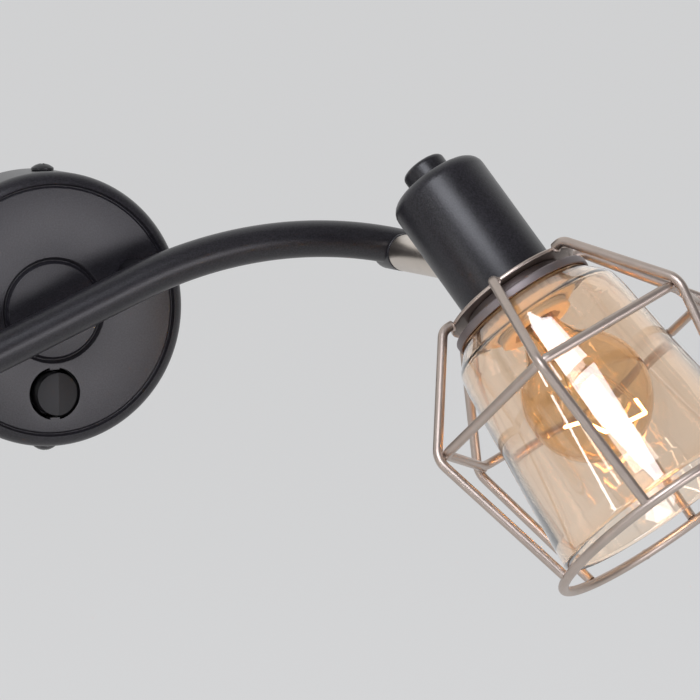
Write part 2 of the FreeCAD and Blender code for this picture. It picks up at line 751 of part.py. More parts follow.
def cup():
    """Deep cup over the lampholder, closed and rounded at the top."""
    t = CUP_WALL
    k = 1 - math.sqrt(HALF)
    return turned([
        (CAP_SPIGOT_R + SLIDE_GAP, CUP_TOP), (HEAD_R - CUP_ROUND, CUP_TOP),
        (HEAD_R, CUP_TOP + CUP_ROUND, HEAD_R - CUP_ROUND * k, CUP_TOP + CUP_ROUND * k),
        (HEAD_R, CUP_MOUTH), (HEAD_R - t, CUP_MOUTH),
        (HEAD_R - t, CUP_TOP + t + CUP_ROUND_IN),
        (HEAD_R - t - CUP_ROUND_IN, CUP_TOP + t,
         HEAD_R - t - CUP_ROUND_IN * k, CUP_TOP + t + CUP_ROUND_IN * k),
        (CAP_SPIGOT_R + SLIDE_GAP, CUP_TOP + t),
    ])


def cap_nut():
    """Round cap on top of the cup, with a short spigot through the cup's top."""
    k = 1 - math.sqrt(HALF)
    top = CUP_TOP - CAP_H
    return turned([
        (0, top), (CAP_R - CAP_ROUND, top),
        (CAP_R, top + CAP_ROUND, CAP_R - CAP_ROUND * k, top + CAP_ROUND * k),
        (CAP_R, CUP_TOP), (CAP_SPIGOT_R, CUP_TOP), (CAP_SPIGOT_R, CUP_TOP + CAP_SPIGOT_L),
        (0, CUP_TOP + CAP_SPIGOT_L),
    ])


def cup_lug():
    """Welded lug on the back of the cup, with the eye for the tilt screw."""
    tab = slab(0, PIVOT_OFF, -LUG_HALF_T, LUG_HALF_T, -LUG_EYE_R, LUG_EYE_R)
    eye = post(LUG_EYE_R, -LUG_HALF_T, LUG_HALF_T, vec(PIVOT_OFF, 0, 0), Y_DIR)
    pad = post(LUG_BASE_R, -LUG_BASE_HALF_H, LUG_BASE_HALF_H).common(
        slab(0, LUG_BASE_R, -LUG_BASE_HALF_W, LUG_BASE_HALF_W, -LUG_BASE_HALF_H, LUG_BASE_HALF_H))
    lug = tab.fuse(eye).fuse(pad)
    lug = lug.cut(post(HEAD_R, -LUG_BASE_HALF_H - CUT_MARGIN, LUG_BASE_HALF_H + CUT_MARGIN))
    hole = post(TILT_SHANK_R + RUN_GAP, -LUG_HALF_T, LUG_HALF_T, vec(PIVOT_OFF, 0, 0), Y_DIR)
    return lug.cut(hole).removeSplitter()


def lampholder():
    """Small-thread lampholder with a flange inside the cup and a threaded skirt below it."""
    return turned([
        (0, HOLDER_TOP), (HOLDER_R, HOLDER_TOP), (HOLDER_R, HOLDER_FLANGE_AT),
        (HOLDER_FLANGE_R, HOLDER_FLANGE_AT), (HOLDER_FLANGE_R, HOLDER_FLANGE_AT + HOLDER_FLANGE_H),
        (HOLDER_R, HOLDER_FLANGE_AT + HOLDER_FLANGE_H), (HOLDER_R, HOLDER_MOUTH),
        (HOLDER_MOUTH_R, HOLDER_MOUTH), (HOLDER_MOUTH_R, HOLDER_MOUTH - HOLDER_MOUTH_L),
        (HOLDER_BORE_R, HOLDER_MOUTH - HOLDER_MOUTH_L), (HOLDER_BORE_R, HOLDER_FLOOR),
        (0, HOLDER_FLOOR),
    ])


def cage_plate():
    """Shallow pan clamped under the cup, with the six ribs welded round its wall."""
    low, high, t = CUP_MOUTH, CUP_MOUTH + PLATE_H, PLATE_T
    k = 1 - math.sqrt(HALF)
    return turned([
        (PLATE_HOLE_R, low), (PLATE_R - PLATE_EDGE, low),
        (PLATE_R, low + PLATE_EDGE, PLATE_R - PLATE_EDGE * k, low + PLATE_EDGE * k),
        (PLATE_R, high), (PLATE_R - t, high), (PLATE_R - t, low + t), (PLATE_HOLE_R, low + t),
    ])


def cage_rib(number):
    """One bent wire from the plate out to the hexagon and in to the mouth ring."""
    rib = rod(rib_corners(), [RIB_NECK_BEND, RIB_BEND], WIRE_R)
    rib = rib.cut(Part.makeTorus(RING_R, WIRE_R, vec(0, 0, RING_AT), Z_DIR))
    rib = max(rib.Solids, key=lambda s: s.Volume)
    rib.rotate(vec(0, 0, 0), Z_DIR, RIB_FIRST_DEG + number * FULL_TURN / RIBS)
    return rib


def rib_corners():
    """Corner points of a rib's centre line, as (radius, 0, distance along the head)."""
    wire_at = CUP_MOUTH + RIB_BELOW_PLATE_TOP
    return [(PLATE_R, 0, wire_at), (RIB_NECK_R, 0, wire_at), (CAGE_R, 0, HEX_AT),
            (RING_R, 0, RING_AT)]


def rounding_off(bend, turn):
    """How far a rounded corner stays inside the sharp one."""
    return bend * (1 / math.cos(turn * HALF) - 1)


def hexagon_corner_r():
    """Radius of the hexagon's sharp corners when its wire touches the ribs from inside."""
    neck, wide, end = [vec(*c) for c in rib_corners()[1:]]
    heading, leaving = (wide - neck).normalize(), (end - wide).normalize()
    outward = (heading - leaving).normalize()
    centre = wide - outward * (RIB_BEND / math.cos(heading.getAngle(leaving) * HALF))
    reach = RIB_BEND - TWICE * WIRE_R - WELD_GAP
    wire_r = centre.x + math.sqrt(reach ** TWICE - (HEX_AT - centre.z) ** TWICE)
    return wire_r + rounding_off(HEX_BEND, math.radians(FULL_TURN / RIBS))


def cage_hexagon():
    """Six-sided wire ring inside the ribs, at their widest place."""
    corners = []
    radius = hexagon_corner_r()
    for k in range(RIBS):
        a = math.radians(RIB_FIRST_DEG + k * FULL_TURN / RIBS)
        corners.append((radius * math.cos(a), radius * math.sin(a), HEX_AT))
    ring = rod(corners, [HEX_BEND] * RIBS, WIRE_R, closed=True)
    return ring


def cage_ring():
    """Round wire ring round the mouth."""
    return Part.makeTorus(RING_R, WIRE_R, vec(0, 0, RING_AT), Z_DIR)


def glass_dish():
    """Shallow inverted dish over the glass neck, with a collar that meets the plate."""
    seat = CUP_MOUTH + PLATE_T
    end = DISH_TOP + DISH_H
    inner = DISH_R - DISH_WALL
    collar_in = DISH_COLLAR_R - DISH_WALL
    under = DISH_TOP + DISH_WALL
    return turned([
        (DISH_HOLE_R, seat), (DISH_COLLAR_R, seat), (DISH_COLLAR_R, DISH_TOP),
        (DISH_R - DISH_LIP, DISH_TOP), (DISH_R, DISH_TOP + DISH_LIP),
        (DISH_R, end), (inner, end), (inner, under), (collar_in, under),
        (collar_in, seat + DISH_WALL), (DISH_HOLE_R, seat + DISH_WALL),
    ])


def glass_shade():
    """Blown glass: flat neck, round shoulder, slightly flaring side and a thicker rim."""
    t = GLASS_T
    neck = (GLASS_NECK_R, GLASS_NECK_AT)
    shoulder = (GLASS_SHOULDER_R, GLASS_SHOULDER_AT)
    rim = GLASS_RIM_T * HALF
    out_via = arc_via(neck, shoulder, SHOULDER_BULGE)
    in_neck = (GLASS_NECK_R - t, GLASS_NECK_AT + t)
    in_shoulder = (GLASS_SHOULDER_R - t, GLASS_SHOULDER_AT + t)
    in_via = arc_via(in_neck, in_shoulder, SHOULDER_BULGE)
    return turned([
        (GLASS_HOLE_R, GLASS_TOP), (GLASS_NECK_R - t * HALF, GLASS_TOP),
        (GLASS_NECK_R, GLASS_TOP + t * HALF), neck, shoulder + out_via,
        (GLASS_SIDE_R, GLASS_SIDE_AT), (GLASS_MOUTH_R, GLASS_MOUTH_AT - rim),
        (GLASS_MOUTH_R - GLASS_RIM_T, GLASS_MOUTH_AT - rim,
         GLASS_MOUTH_R - rim, GLASS_MOUTH_AT),
        (GLASS_MOUTH_R - t, GLASS_MOUTH_AT - GLASS_RIM_T * TWICE),
        (GLASS_SIDE_R - t, GLASS_SIDE_AT), in_shoulder,
        in_neck + in_via, (GLASS_NECK_R - t, GLASS_TOP + t), (GLASS_HOLE_R, GLASS_TOP + t),
    ])


def shade_ring():
    """Threaded ring that clamps the glass from inside."""
    low = GLASS_TOP + GLASS_T
    return turned([
        (HOLDER_R, low), (SHADE_RING_R, low), (SHADE_RING_R, low + SHADE_RING_LIP_H),
        (SHADE_RING_LIP_R, low + SHADE_RING_H), (HOLDER_R, low + SHADE_RING_H),
    ])


def bulb_glass():
    """Clear ball bulb with a short neck."""
    t = BULB_SHELL_T
    ball, at = BULB_BALL_R, BULB_BALL_AT
    start = math.sqrt(ball ** TWICE - BULB_THROAT_R ** TWICE)
    throat = (BULB_THROAT_R, at - start)
    inner = ball - t
    in_start = math.sqrt(inner ** TWICE - (BULB_THROAT_R - t) ** TWICE)
    in_throat = (BULB_THROAT_R - t, at - in_start)
    neck = (BULB_NECK_R, BULB_NECK_AT)
    via = arc_via(neck, throat, THROAT_BULGE)
    in_neck = (BULB_NECK_R - t, BULB_NECK_AT)
    in_via = arc_via(in_neck, in_throat, THROAT_BULGE)
    return turned([
        neck, throat + via, (0, at + ball, ball, at), (0, at + inner),
        in_throat + (inner, at), in_neck + in_via,
    ])


def bulb_cap():
    """Metal screw cap of the bulb with its centre contact."""
    low, high = BULB_CAP_AT, BULB_CAP_AT + BULB_CAP_L
    return turned([
        (0, BULB_TIP_AT), (BULB_TIP_R, BULB_TIP_AT), (BULB_TIP_R, BULB_TIP_AT + BULB_TIP_H),
        (BULB_CAP_BORE_R, low), (BULB_CAP_R, low + BULB_TIP_H), (BULB_CAP_R, high),
        (BULB_CAP_BORE_R, high), (BULB_CAP_BORE_R, low + BULB_TIP_R),
        (0, low + BULB_TIP_R),
    ])


def filament():
    """Glass press with two leads and the looped filament, as one piece."""
    press = turned([
        (0, BULB_CAP_AT + BULB_TIP_R), (PRESS_R, BULB_CAP_AT + BULB_TIP_R),
        (PRESS_R, PRESS_AT + PRESS_L - PRESS_R), (0, PRESS_AT + PRESS_L),
    ])
    foot = PRESS_AT + PRESS_L - PRESS_R
    wire = rod([(-PRESS_R * HALF, 0, foot - PRESS_R), (-LEAD_SPREAD, 0, LEAD_TOP_AT),
                (0, LEAD_SPREAD * HALF, LEAD_TOP_AT + COIL_BEND),
                (LEAD_SPREAD, 0, LEAD_TOP_AT), (PRESS_R * HALF, 0, foot - PRESS_R)],
               [COIL_R, COIL_BEND, COIL_R], LEAD_R)
    return press.fuse(wire).removeSplitter()


def build():
    os.makedirs("parts", exist_ok=True)
    save("base_cover", base_cover())
    save("wall_bracket", wall_bracket())
    save("cover_screw_top", cover_screw(1))
    save("cover_screw_bottom", cover_screw(-1))
    save("switch_body", switch_body())
    save("switch_rocker", switch_rocker())
    save("terminal_block", terminal_block())
    save("arm_tube", arm_tube())
    right_post, right_nut, right_hub = arm_post(), post_nut(), hub()
    save("arm_post_right", right_post)
    save("arm_post_left", turned_over(right_post))
    save("post_nut_right", right_nut)
    save("post_nut_left", turned_over(right_nut))
    save("hub_right", right_hub)
    save("hub_left", turned_over(right_hub))
    stem_parts = {
        "swivel_stem": swivel_stem(), "pan_washer": pan_washer(), "pan_nut": pan_nut(),
        "tilt_screw": tilt_screw(),
    }
    head_parts = {
        "cup": cup(), "cap_nut": cap_nut(), "cup_lug": cup_lug(), "lampholder": lampholder(),
        "cage_plate": cage_plate(), "cage_hexagon": cage_hexagon(), "cage_ring": cage_ring(),
        "glass_dish": glass_dish(), "glass_shade": glass_shade(), "shade_ring": shade_ring(),
        "bulb_glass": bulb_glass(), "bulb_cap": bulb_cap(), "filament": filament(),
    }
    for number in range(RIBS):
        head_parts["cage_rib_%d" % (number + 1)] = cage_rib(number)
    for word, side, pan in (("right", 1, PAN_RIGHT_DEG), ("left", -1, PAN_LEFT_DEG)):
        columns, origin = stem_frame(side, pan)
        for name, shape in stem_parts.items():
            save("%s_%s" % (name, word), placed(shape, columns, origin))
        columns, origin = head_frame(side, pan)
        for name, shape in head_parts.items():
            save("%s_%s" % (name, word), placed(shape, columns, origin))


build()
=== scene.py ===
"""Wall spotlight: round switched base, wave-shaped arm and two caged glass heads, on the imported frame."""
import json
import logging
import math
from dataclasses import dataclass, replace
from enum import Enum
from typing import Callable, Optional, Sequence, Union

import bmesh
import bpy
from mathutils import Matrix, Vector


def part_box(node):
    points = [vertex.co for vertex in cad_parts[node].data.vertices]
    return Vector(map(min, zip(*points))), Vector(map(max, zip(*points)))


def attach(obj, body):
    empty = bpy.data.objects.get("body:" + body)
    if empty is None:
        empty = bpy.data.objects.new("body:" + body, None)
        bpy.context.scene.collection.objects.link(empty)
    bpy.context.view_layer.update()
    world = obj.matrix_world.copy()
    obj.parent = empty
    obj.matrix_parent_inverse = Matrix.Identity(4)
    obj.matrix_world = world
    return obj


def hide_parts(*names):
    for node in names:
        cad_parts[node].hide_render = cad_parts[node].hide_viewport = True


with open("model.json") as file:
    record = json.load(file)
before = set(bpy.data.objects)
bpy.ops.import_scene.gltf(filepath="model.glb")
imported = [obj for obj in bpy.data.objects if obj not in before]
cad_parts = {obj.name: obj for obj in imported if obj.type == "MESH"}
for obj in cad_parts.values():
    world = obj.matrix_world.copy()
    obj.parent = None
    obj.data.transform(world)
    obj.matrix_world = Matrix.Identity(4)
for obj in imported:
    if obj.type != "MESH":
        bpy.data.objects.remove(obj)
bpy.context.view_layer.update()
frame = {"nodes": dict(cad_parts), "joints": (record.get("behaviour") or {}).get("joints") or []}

LOG = logging.getLogger("lamp")

# The script's lengths are millimetres unless a name says otherwise; the lamp's frame is in metres.
MM = 0.001

# A length, angle or gap below these is none.
TINY = 0.001
NEAR = 0.0005

# Steps in a full turn, from the largest rounds to the roughest.
LARGE = 192
FINE = 128
SMALL = 96
ROUGH = 48
WIRE_SIDES = 24

# Roundings that many edges share.
CRISP = 0.2
EASED = 0.3
SOFT = 0.4

OUT = Vector((0, -1, 0))
RIGHT = Vector((1, 0, 0))
UP = Vector((0, 0, 1))

Corner = Sequence[float]


class Body(Enum):
    """The CAD bodies of the lamp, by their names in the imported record."""

    BASE = "base"
    ROCKER = "rocker"
    SWIVEL = "swivel_{}"
    HEAD = "head_{}"

    def on(self, word: str = "") -> str:
        """Give the body's name, on one side of the lamp where there are two."""
        return self.value.format(word)


@dataclass(frozen=True)
class Place:
    """A right-handed frame of the lamp in which a piece is modelled in millimetres.

    Attributes:
        origin: Where the local origin lies, in metres.
        across: The local X direction.
        axis: The local Z direction.
    """

    origin: Vector
    across: Vector
    axis: Vector

    def matrix(self) -> Matrix:
        """Work out the transform from local millimetres to the lamp's metres.

        Returns:
            The transform.
        """
        side = self.axis.cross(self.across)
        turn = Matrix((self.across, side, self.axis)).transposed().to_4x4()
        return Matrix.Translation(self.origin) @ turn @ Matrix.Scale(MM, 4)


# Outlines

def arc(centre: Corner, radius: float, start: float, end: float, steps: int) -> list[Corner]:
    """List points along an arc of an outline.

    Args:
        centre: Radius and height of the arc's centre.
        radius: The arc's radius.
        start: Angle of its first point in degrees, from the outward direction.
        end: Angle of its last point.
        steps: How many chords it has.

    Returns:
        Points as (radius, height).
    """
    points = []
    for k in range(steps + 1):
        angle = math.radians(start + (end - start) * k / steps)
        points.append((centre[0] + radius * math.cos(angle), centre[1] + radius * math.sin(angle)))
    return points


def rounded(corners: Sequence[Corner], closed: bool) -> list[Vector]:
    """Turn an outline's corners into its points, with an arc at each corner that names a rounding.

    Args:
        corners: (radius, height) or (radius, height, rounding) for each corner.
        closed: Whether the last corner runs back to the first.

    Returns:
        The outline's points.
    """
    most_of_side = 0.49
    points: list[Vector] = []
    count = len(corners)
    for i, corner in enumerate(corners):
        here = Vector(corner[:2])
        rounding = corner[2] if len(corner) > 2 else 0
        if not rounding or (not closed and i in (0, count - 1)):
            points.append(here)
            continue
        before = Vector(corners[i - 1][:2]) - here
        after = Vector(corners[(i + 1) % count][:2]) - here
        half = before.angle(after) / 2
        back = min(rounding / math.tan(half), most_of_side * min(before.length, after.length))
        radius = back * math.tan(half)
        middle = (before.normalized() + after.normalized()).normalized()
        centre = here + middle * (radius / math.sin(half))
        spoke = here + before.normalized() * back - centre
        turn = math.copysign(math.pi - 2 * half, (-before).cross(after))
        per_eighth = 3 if rounding > 1 else 2
        steps = max(3, round(abs(turn) * 4 / math.pi * per_eighth))
        for k in range(steps + 1):
            points.append(centre + Matrix.Rotation(turn * k / steps, 2) @ spoke)
    return points


def parallel(corners: Sequence[Corner], wall: float) -> list[Corner]:
    """Run an outline back at a wall's distance on its left.

    Args:
        corners: The outline's corners as (radius, height) or (radius, height, rounding).
        wall: The distance.

    Returns:
        The corners of the parallel outline, from its end to its start.
    """
    points = [Vector(corner[:2]) for corner in corners]
    ways = [(b - a).normalized() for a, b in zip(points, points[1:])]
    inner: list[Corner] = []
    for i, corner in enumerate(corners):
        before, after = ways[max(i - 1, 0)], ways[min(i, len(ways) - 1)]
        lean = (before + after).normalized()
        spot = points[i] + Vector((-lean.y, lean.x)) * (wall / lean.dot(after))
        rounding = corner[2] if len(corner) > 2 else 0
        grown = rounding - math.copysign(wall, before.cross(after))
        inner.append((spot.x, spot.y, max(grown, EASED) if rounding else 0))
    return inner[::-1]


def thread(turn: Sequence[Corner], start: float, pitch: float, turns: int) -> list[Corner]:
    """Repeat one turn of a thread up an outline.

    Args:
        turn: Radius, rise and rounding of each corner of a turn.
        start: The height at which the first turn starts.
        pitch: How far apart the turns are.
        turns: How many there are.

    Returns:
        The thread's corners.
    """
    return [(radius, start + k * pitch + rise, bend) for k in range(turns) for radius, rise, bend in turn]


# Meshes

def of_kind(geom: Sequence, kind: type) -> list:
    """Pick the elements of one kind."""
    return [part for part in geom if isinstance(part, kind)]


class Form:
    """A piece's mesh in the making, in local millimetres."""

    def __init__(self) -> None:
        """Start with an empty mesh."""
        self.bm = bmesh.new()

    def _since(self, before: set) -> list:
        """List the vertices made since a set was taken."""
        return [v for v in self.bm.verts if v not in before]

    def lathe(self, corners: Sequence[Corner], steps: int = FINE) -> "Form":
        """Spin an outline about the local Z axis.

        Args:
            corners: The outline, which is open where it starts and ends on the axis.
            steps: How many steps a full turn has.

        Returns:
            This form.
        """
        closed = corners[0][0] > 0 or corners[-1][0] > 0
        before = set(self.bm.verts)
        line = [self.bm.verts.new((p.x, 0, p.y)) for p in rounded(corners, closed)]
        ends = line[1:] + line[:1] if closed else line[1:]
        edges = [self.bm.edges.new(pair) for pair in zip(line, ends)]
        return self._spun_round(line + edges, steps, before)

    def _spun_round(self, geom: list, steps: int, before: set) -> "Form":
        """Spin vertices and edges a full turn about the local Z axis.

        Args:
            geom: What is spun.
            steps: How many steps the turn has.
            before: The vertices that were there before it.

        Returns:
            This form.
        """
        bmesh.ops.spin(
            self.bm, geom=geom, cent=(0, 0, 0), axis=UP, dvec=(0, 0, 0), angle=math.tau, steps=steps,
            use_merge=True, use_duplicate=False,
        )
        bmesh.ops.remove_doubles(self.bm, verts=self._since(before), dist=NEAR)
        return self

    def _circle(self, centre: Vector, heading: Vector, radius: float, sides: int) -> tuple[list, list]:
        """Start a rod with a circle.

        Args:
            centre: Its middle.
            heading: The direction in which the rod starts.
            radius: Its radius.
            sides: How many sides it has.

        Returns:
            The circle's vertices and its edges.
        """
        turn = heading.to_track_quat("Z", "Y").to_matrix().to_4x4()
        made = bmesh.ops.create_circle(
            self.bm, cap_ends=False, radius=radius, segments=sides, matrix=Matrix.Translation(centre) @ turn
        )
        verts = made["verts"]
        return verts, list(dict.fromkeys(e for v in verts for e in v.link_edges))

    def rod(
        self, corners: Sequence[Corner], bends: Sequence[float], radius: float,
        closed: bool = False, sides: int = WIRE_SIDES,
    ) -> "Form":
        """Run a round rod along straight lines with rounded corners.

        Args:
            corners: The corner points of its centre line.
            bends: The bend radius at each corner, ends left out where it is open.
            radius: The rod's radius.
            closed: Whether it runs back to its start.
            sides: How many sides its section has.

        Returns:
            This form.
        """
        least_steps, step_length = 6, 2.5
        points = [Vector(c) for c in corners]
        if closed:
            start = (points[0] + points[-1]) / 2
            points = [start, *points, start]
        bends = [0, *bends, 0]
        before = set(self.bm.verts)
        heading = (points[1] - points[0]).normalized()
        here = points[0]
        verts, edges = self._circle(here, heading, radius, sides)
        first = edges
        for i in range(1, len(points)):
            heading = (points[i] - points[i - 1]).normalized()
            inner = i + 1 < len(points)
            leaving = (points[i + 1] - points[i]).normalized() if inner else heading
            turn = heading.angle(leaving) if inner else 0
            back = bends[i] * math.tan(turn / 2)
            stop = points[i] - heading * back
            if (stop - here).length > TINY:
                made = bmesh.ops.extrude_edge_only(self.bm, edges=edges)
                verts = of_kind(made["geom"], bmesh.types.BMVert)
                ring = set(verts)
                edges = [e for e in of_kind(made["geom"], bmesh.types.BMEdge) if ring.issuperset(e.verts)]
                bmesh.ops.translate(self.bm, vec=stop - here, verts=verts)
            here = stop
            if turn > TINY:
                axis = heading.cross(leaving).normalized()
                steps = max(least_steps, round(turn * bends[i] / step_length))
                made = bmesh.ops.spin(
                    self.bm, geom=verts + edges, cent=stop + axis.cross(heading) * bends[i], axis=axis,
                    dvec=(0, 0, 0), angle=turn, steps=steps, use_merge=False, use_duplicate=False,
                )
                verts = of_kind(made["geom_last"], bmesh.types.BMVert)
                edges = of_kind(made["geom_last"], bmesh.types.BMEdge)
                here = points[i] + leaving * back
        if closed:
            bmesh.ops.remove_doubles(self.bm, verts=self._since(before), dist=2 * TINY)
            return self
        return self._capped(first, edges)

    def _capped(self, *rings: list) -> "Form":
        """Close rings of edges with a face each.

        Args:
            rings: The rings, each a list of its edges.

        Returns:
            This form.
        """
        for ring in rings:
            bmesh.ops.contextual_create(self.bm, geom=ring)
        return self

    def coil(self, start: Vector, end: Vector, radius: float, wire: float, pitch: float) -> "Form":
        """Wind a fine wire round the line between two points.

        Args:
            start: Where the winding starts.
            end: Where it ends.
            radius: Radius of the winding.
            wire: Radius of the wire.
            pitch: How far it goes along in a turn.

        Returns:
            This form.
        """
        sides, steps_a_turn = 6, 10
        along = (end - start).normalized()
        spoke = along.orthogonal().normalized() * radius
        turns = max(1, round((end - start).length / pitch))
        steps = turns * steps_a_turn
        verts, edges = self._circle(start + spoke, along.cross(spoke).normalized(), wire, sides)
        made = bmesh.ops.spin(
            self.bm, geom=verts + edges, cent=start, axis=along, dvec=(end - start) / steps,
            angle=math.tau * turns, steps=steps, use_merge=False, use_duplicate=False,
        )
        return self._capped(edges, of_kind(made["geom_last"], bmesh.types.BMEdge))

    def torus(self, radius: float, wire: float, at: float) -> "Form":
        """Bend a wire into a ring round the local Z axis.

        Args:
            radius: Radius of the ring's centre line.
            wire: Radius of the wire.
            at: The ring's height.

        Returns:
            This form.
        """
        before = set(self.bm.verts)
        verts, edges = self._circle(Vector((radius, 0, at)), Vector((0, 1, 0)), wire, WIRE_SIDES)
        return self._spun_round(verts + edges, FINE, before)

    def block(self, low: Corner, high: Corner) -> "Form":
        """Add a box.

        Args:
            low: Its lowest corner.
            high: Its highest corner.

        Returns:
            This form.
        """
        middle, size = (Vector(high) + Vector(low)) / 2, Vector(high) - Vector(low)
        shape = Matrix.Translation(middle) @ Matrix.Diagonal((*size, 1))
        bmesh.ops.create_cube(self.bm, size=1, matrix=shape)
        return self

    def bar(self, radius: float, start: Corner, end: Corner, sides: int = ROUGH) -> "Form":
        """Add a plain round bar between two points."""
        return self.rod([start, end], [], radius, sides=sides)

    def bead(self, at: Vector, size: Corner, tilt: Matrix) -> "Form":
        """Add a flattened, slightly uneven bead of weld.

        Args:
            at: Its middle.
            size: Its half sizes along its own three directions.
            tilt: The rotation that turns them into place.

        Returns:
            This form.
        """
        uneven, swing = 0.05, 2.4
        shape = Matrix.Translation(at) @ tilt.to_4x4() @ Matrix.Diagonal((*size, 1))
        made = bmesh.ops.create_icosphere(self.bm, subdivisions=3, radius=1, matrix=shape)
        for i, vert in enumerate(made["verts"]):
            vert.co += (vert.co - at) * uneven * math.sin(i * swing)
        return self

    def carve(self, tool: "Form") -> "Form":
        """Take another form's room away from this form.

        Args:
            tool: The form that cuts, which is used up.

        Returns:
            This form.
        """
        body, blade = self._probe(), tool._probe()
        work = body.modifiers.new("work", "BOOLEAN")
        work.operation, work.object, work.solver = "DIFFERENCE", blade, "EXACT"
        worked = bpy.data.meshes.new_from_object(body.evaluated_get(bpy.context.evaluated_depsgraph_get()))
        self.bm.clear()
        self.bm.from_mesh(worked)
        tool.bm.free()
        bpy.data.meshes.remove(worked)
        for probe in (body, blade):
            mesh = probe.data
            bpy.data.objects.remove(probe)
            bpy.data.meshes.remove(mesh)
        return self

    def _probe(self) -> bpy.types.Object:
        """Put the mesh as it is into the scene for a moment.

        Returns:
            Its object.
        """
        bmesh.ops.recalc_face_normals(self.bm, faces=self.bm.faces)
        mesh = bpy.data.meshes.new("probe")
        self.bm.to_mesh(mesh)
        probe = bpy.data.objects.new("probe", mesh)
        bpy.context.scene.collection.objects.link(probe)
        return probe

    def moved(self, matrix: Matrix) -> "Form":
        """Move the whole form."""
        bmesh.ops.transform(self.bm, matrix=matrix, verts=self.bm.verts)
        return self

    def softened(self, width: float, degrees: float) -> "Form":
        """Bevel every edge that is sharper than an angle.

        Args:
            width: How far the bevel reaches.
            degrees: The least angle between an edge's faces.

        Returns:
            This form.
        """
        flat = math.radians(0.5)
        bmesh.ops.dissolve_limit(
            self.bm, angle_limit=flat, use_dissolve_boundaries=False,
            verts=self.bm.verts, edges=self.bm.edges,
        )
        least = math.radians(degrees)
        sharp = [e for e in self.bm.edges if len(e.link_faces) == 2 and e.calc_face_angle(0) > least]
        bmesh.ops.bevel(
            self.bm, geom=sharp, offset=width, offset_type="OFFSET", segments=3, profile=0.5,
            affect="EDGES", material=-1, clamp_overlap=True,
        )
        return self


@dataclass(frozen=True)
class DomedScrew:
    """A domed screw, whose head sits on the local plane z = 0 and holds a cross, (width, length, depth)."""

    radius: float
    height: float
    edge: float
    shank: float
    length: float
    cross: tuple
    pitch: float = 0.8
    core: float = 0.86
    point: float = 0.7
    chamfer: float = 0.15
    cross_taper: float = 0.7

    def form(self) -> Form:
        """Turn the screw and sink the tapered cross into its head.

        Returns:
            The screw.
        """
        top, rise = self.height, self.height - self.edge
        ball = (self.radius ** 2 + rise ** 2) / (2 * rise)
        dome = arc((0, top - ball), ball, math.degrees(math.asin((ball - rise) / ball)), 90, 12)
        shank, pitch, foot, chamfer = self.shank, self.pitch, -self.length, self.chamfer
        turns = int((self.length - shank) / pitch)
        screw = Form().lathe([
            (0, foot), (shank * self.point, foot), (shank, foot + shank * 0.5),
            *thread([(shank, 0, 0), (shank * self.core, pitch * 0.5, 0)], foot + shank * 0.6, pitch, turns),
            (shank, 0), (self.radius - chamfer, 0, 0.1), (self.radius, chamfer, 0.1), *dome[:-1], (0, top),
        ], 64)
        width, length, depth = self.cross
        for half_x, half_y in ((width / 2, length / 2), (length / 2, width / 2)):
            blade = Form().block((-half_x, -half_y, top - depth), (half_x, half_y, top + depth))
            low = [v for v in blade.bm.verts if v.co.z < top]
            bmesh.ops.scale(blade.bm, vec=(self.cross_taper, self.cross_taper, 1), verts=low)
            screw.carve(blade)
        return screw


def from_cad(node: str) -> Form:
    """Take a copy of a CAD node's mesh, with its loose triangles joined, as a form in metres.

    Args:
        node: The node's name.

    Returns:
        The copy.
    """
    form = Form()
    form.bm.from_mesh(frame["nodes"][node].data)
    bmesh.ops.remove_doubles(form.bm, verts=form.bm.verts, dist=TINY * MM)
    return form


def joint(name: str) -> dict:
    """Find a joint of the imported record."""
    return next(j for j in frame["joints"] if j["name"] == name)


def middle_of(node: str) -> Vector:
    """Give the middle of a CAD node's box, in metres."""
    low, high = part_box(node)
    return (low + high) / 2


# Shader graphs

Value = Union["Wire", float, Sequence[float]]


def tone(red: float, green: float, blue: float) -> tuple[float, float, float, float]:
    """Write a colour in linear light."""
    return red, green, blue, 1.0


def operator(operation: str, swapped: bool = False) -> Callable[["Wire", Value], "Wire"]:
    """Make an operator that adds a Math node.

    Args:
        operation: What the node does.
        swapped: Whether the wire is the operator's right side.

    Returns:
        The operator.
    """
    def apply(wire: "Wire", other: Value) -> "Wire":
        """Add the node."""
        values = (other, wire) if swapped else (wire, other)
        return wire.graph.node("ShaderNodeMath", {"operation": operation}, dict(enumerate(values)))
    return apply


class Wire:
    """An output socket that can be used in sums; each operator adds its Math node."""

    __add__, __radd__ = operator("ADD"), operator("ADD", True)
    __sub__, __rsub__ = operator("SUBTRACT"), operator("SUBTRACT", True)
    __mul__, __rmul__ = operator("MULTIPLY"), operator("MULTIPLY", True)
    at_least = operator("MAXIMUM")

    def __init__(self, graph: "Graph", socket: bpy.types.NodeSocket) -> None:
        """Keep the socket and the graph that it belongs to."""
        self.graph = graph
        self.socket = socket


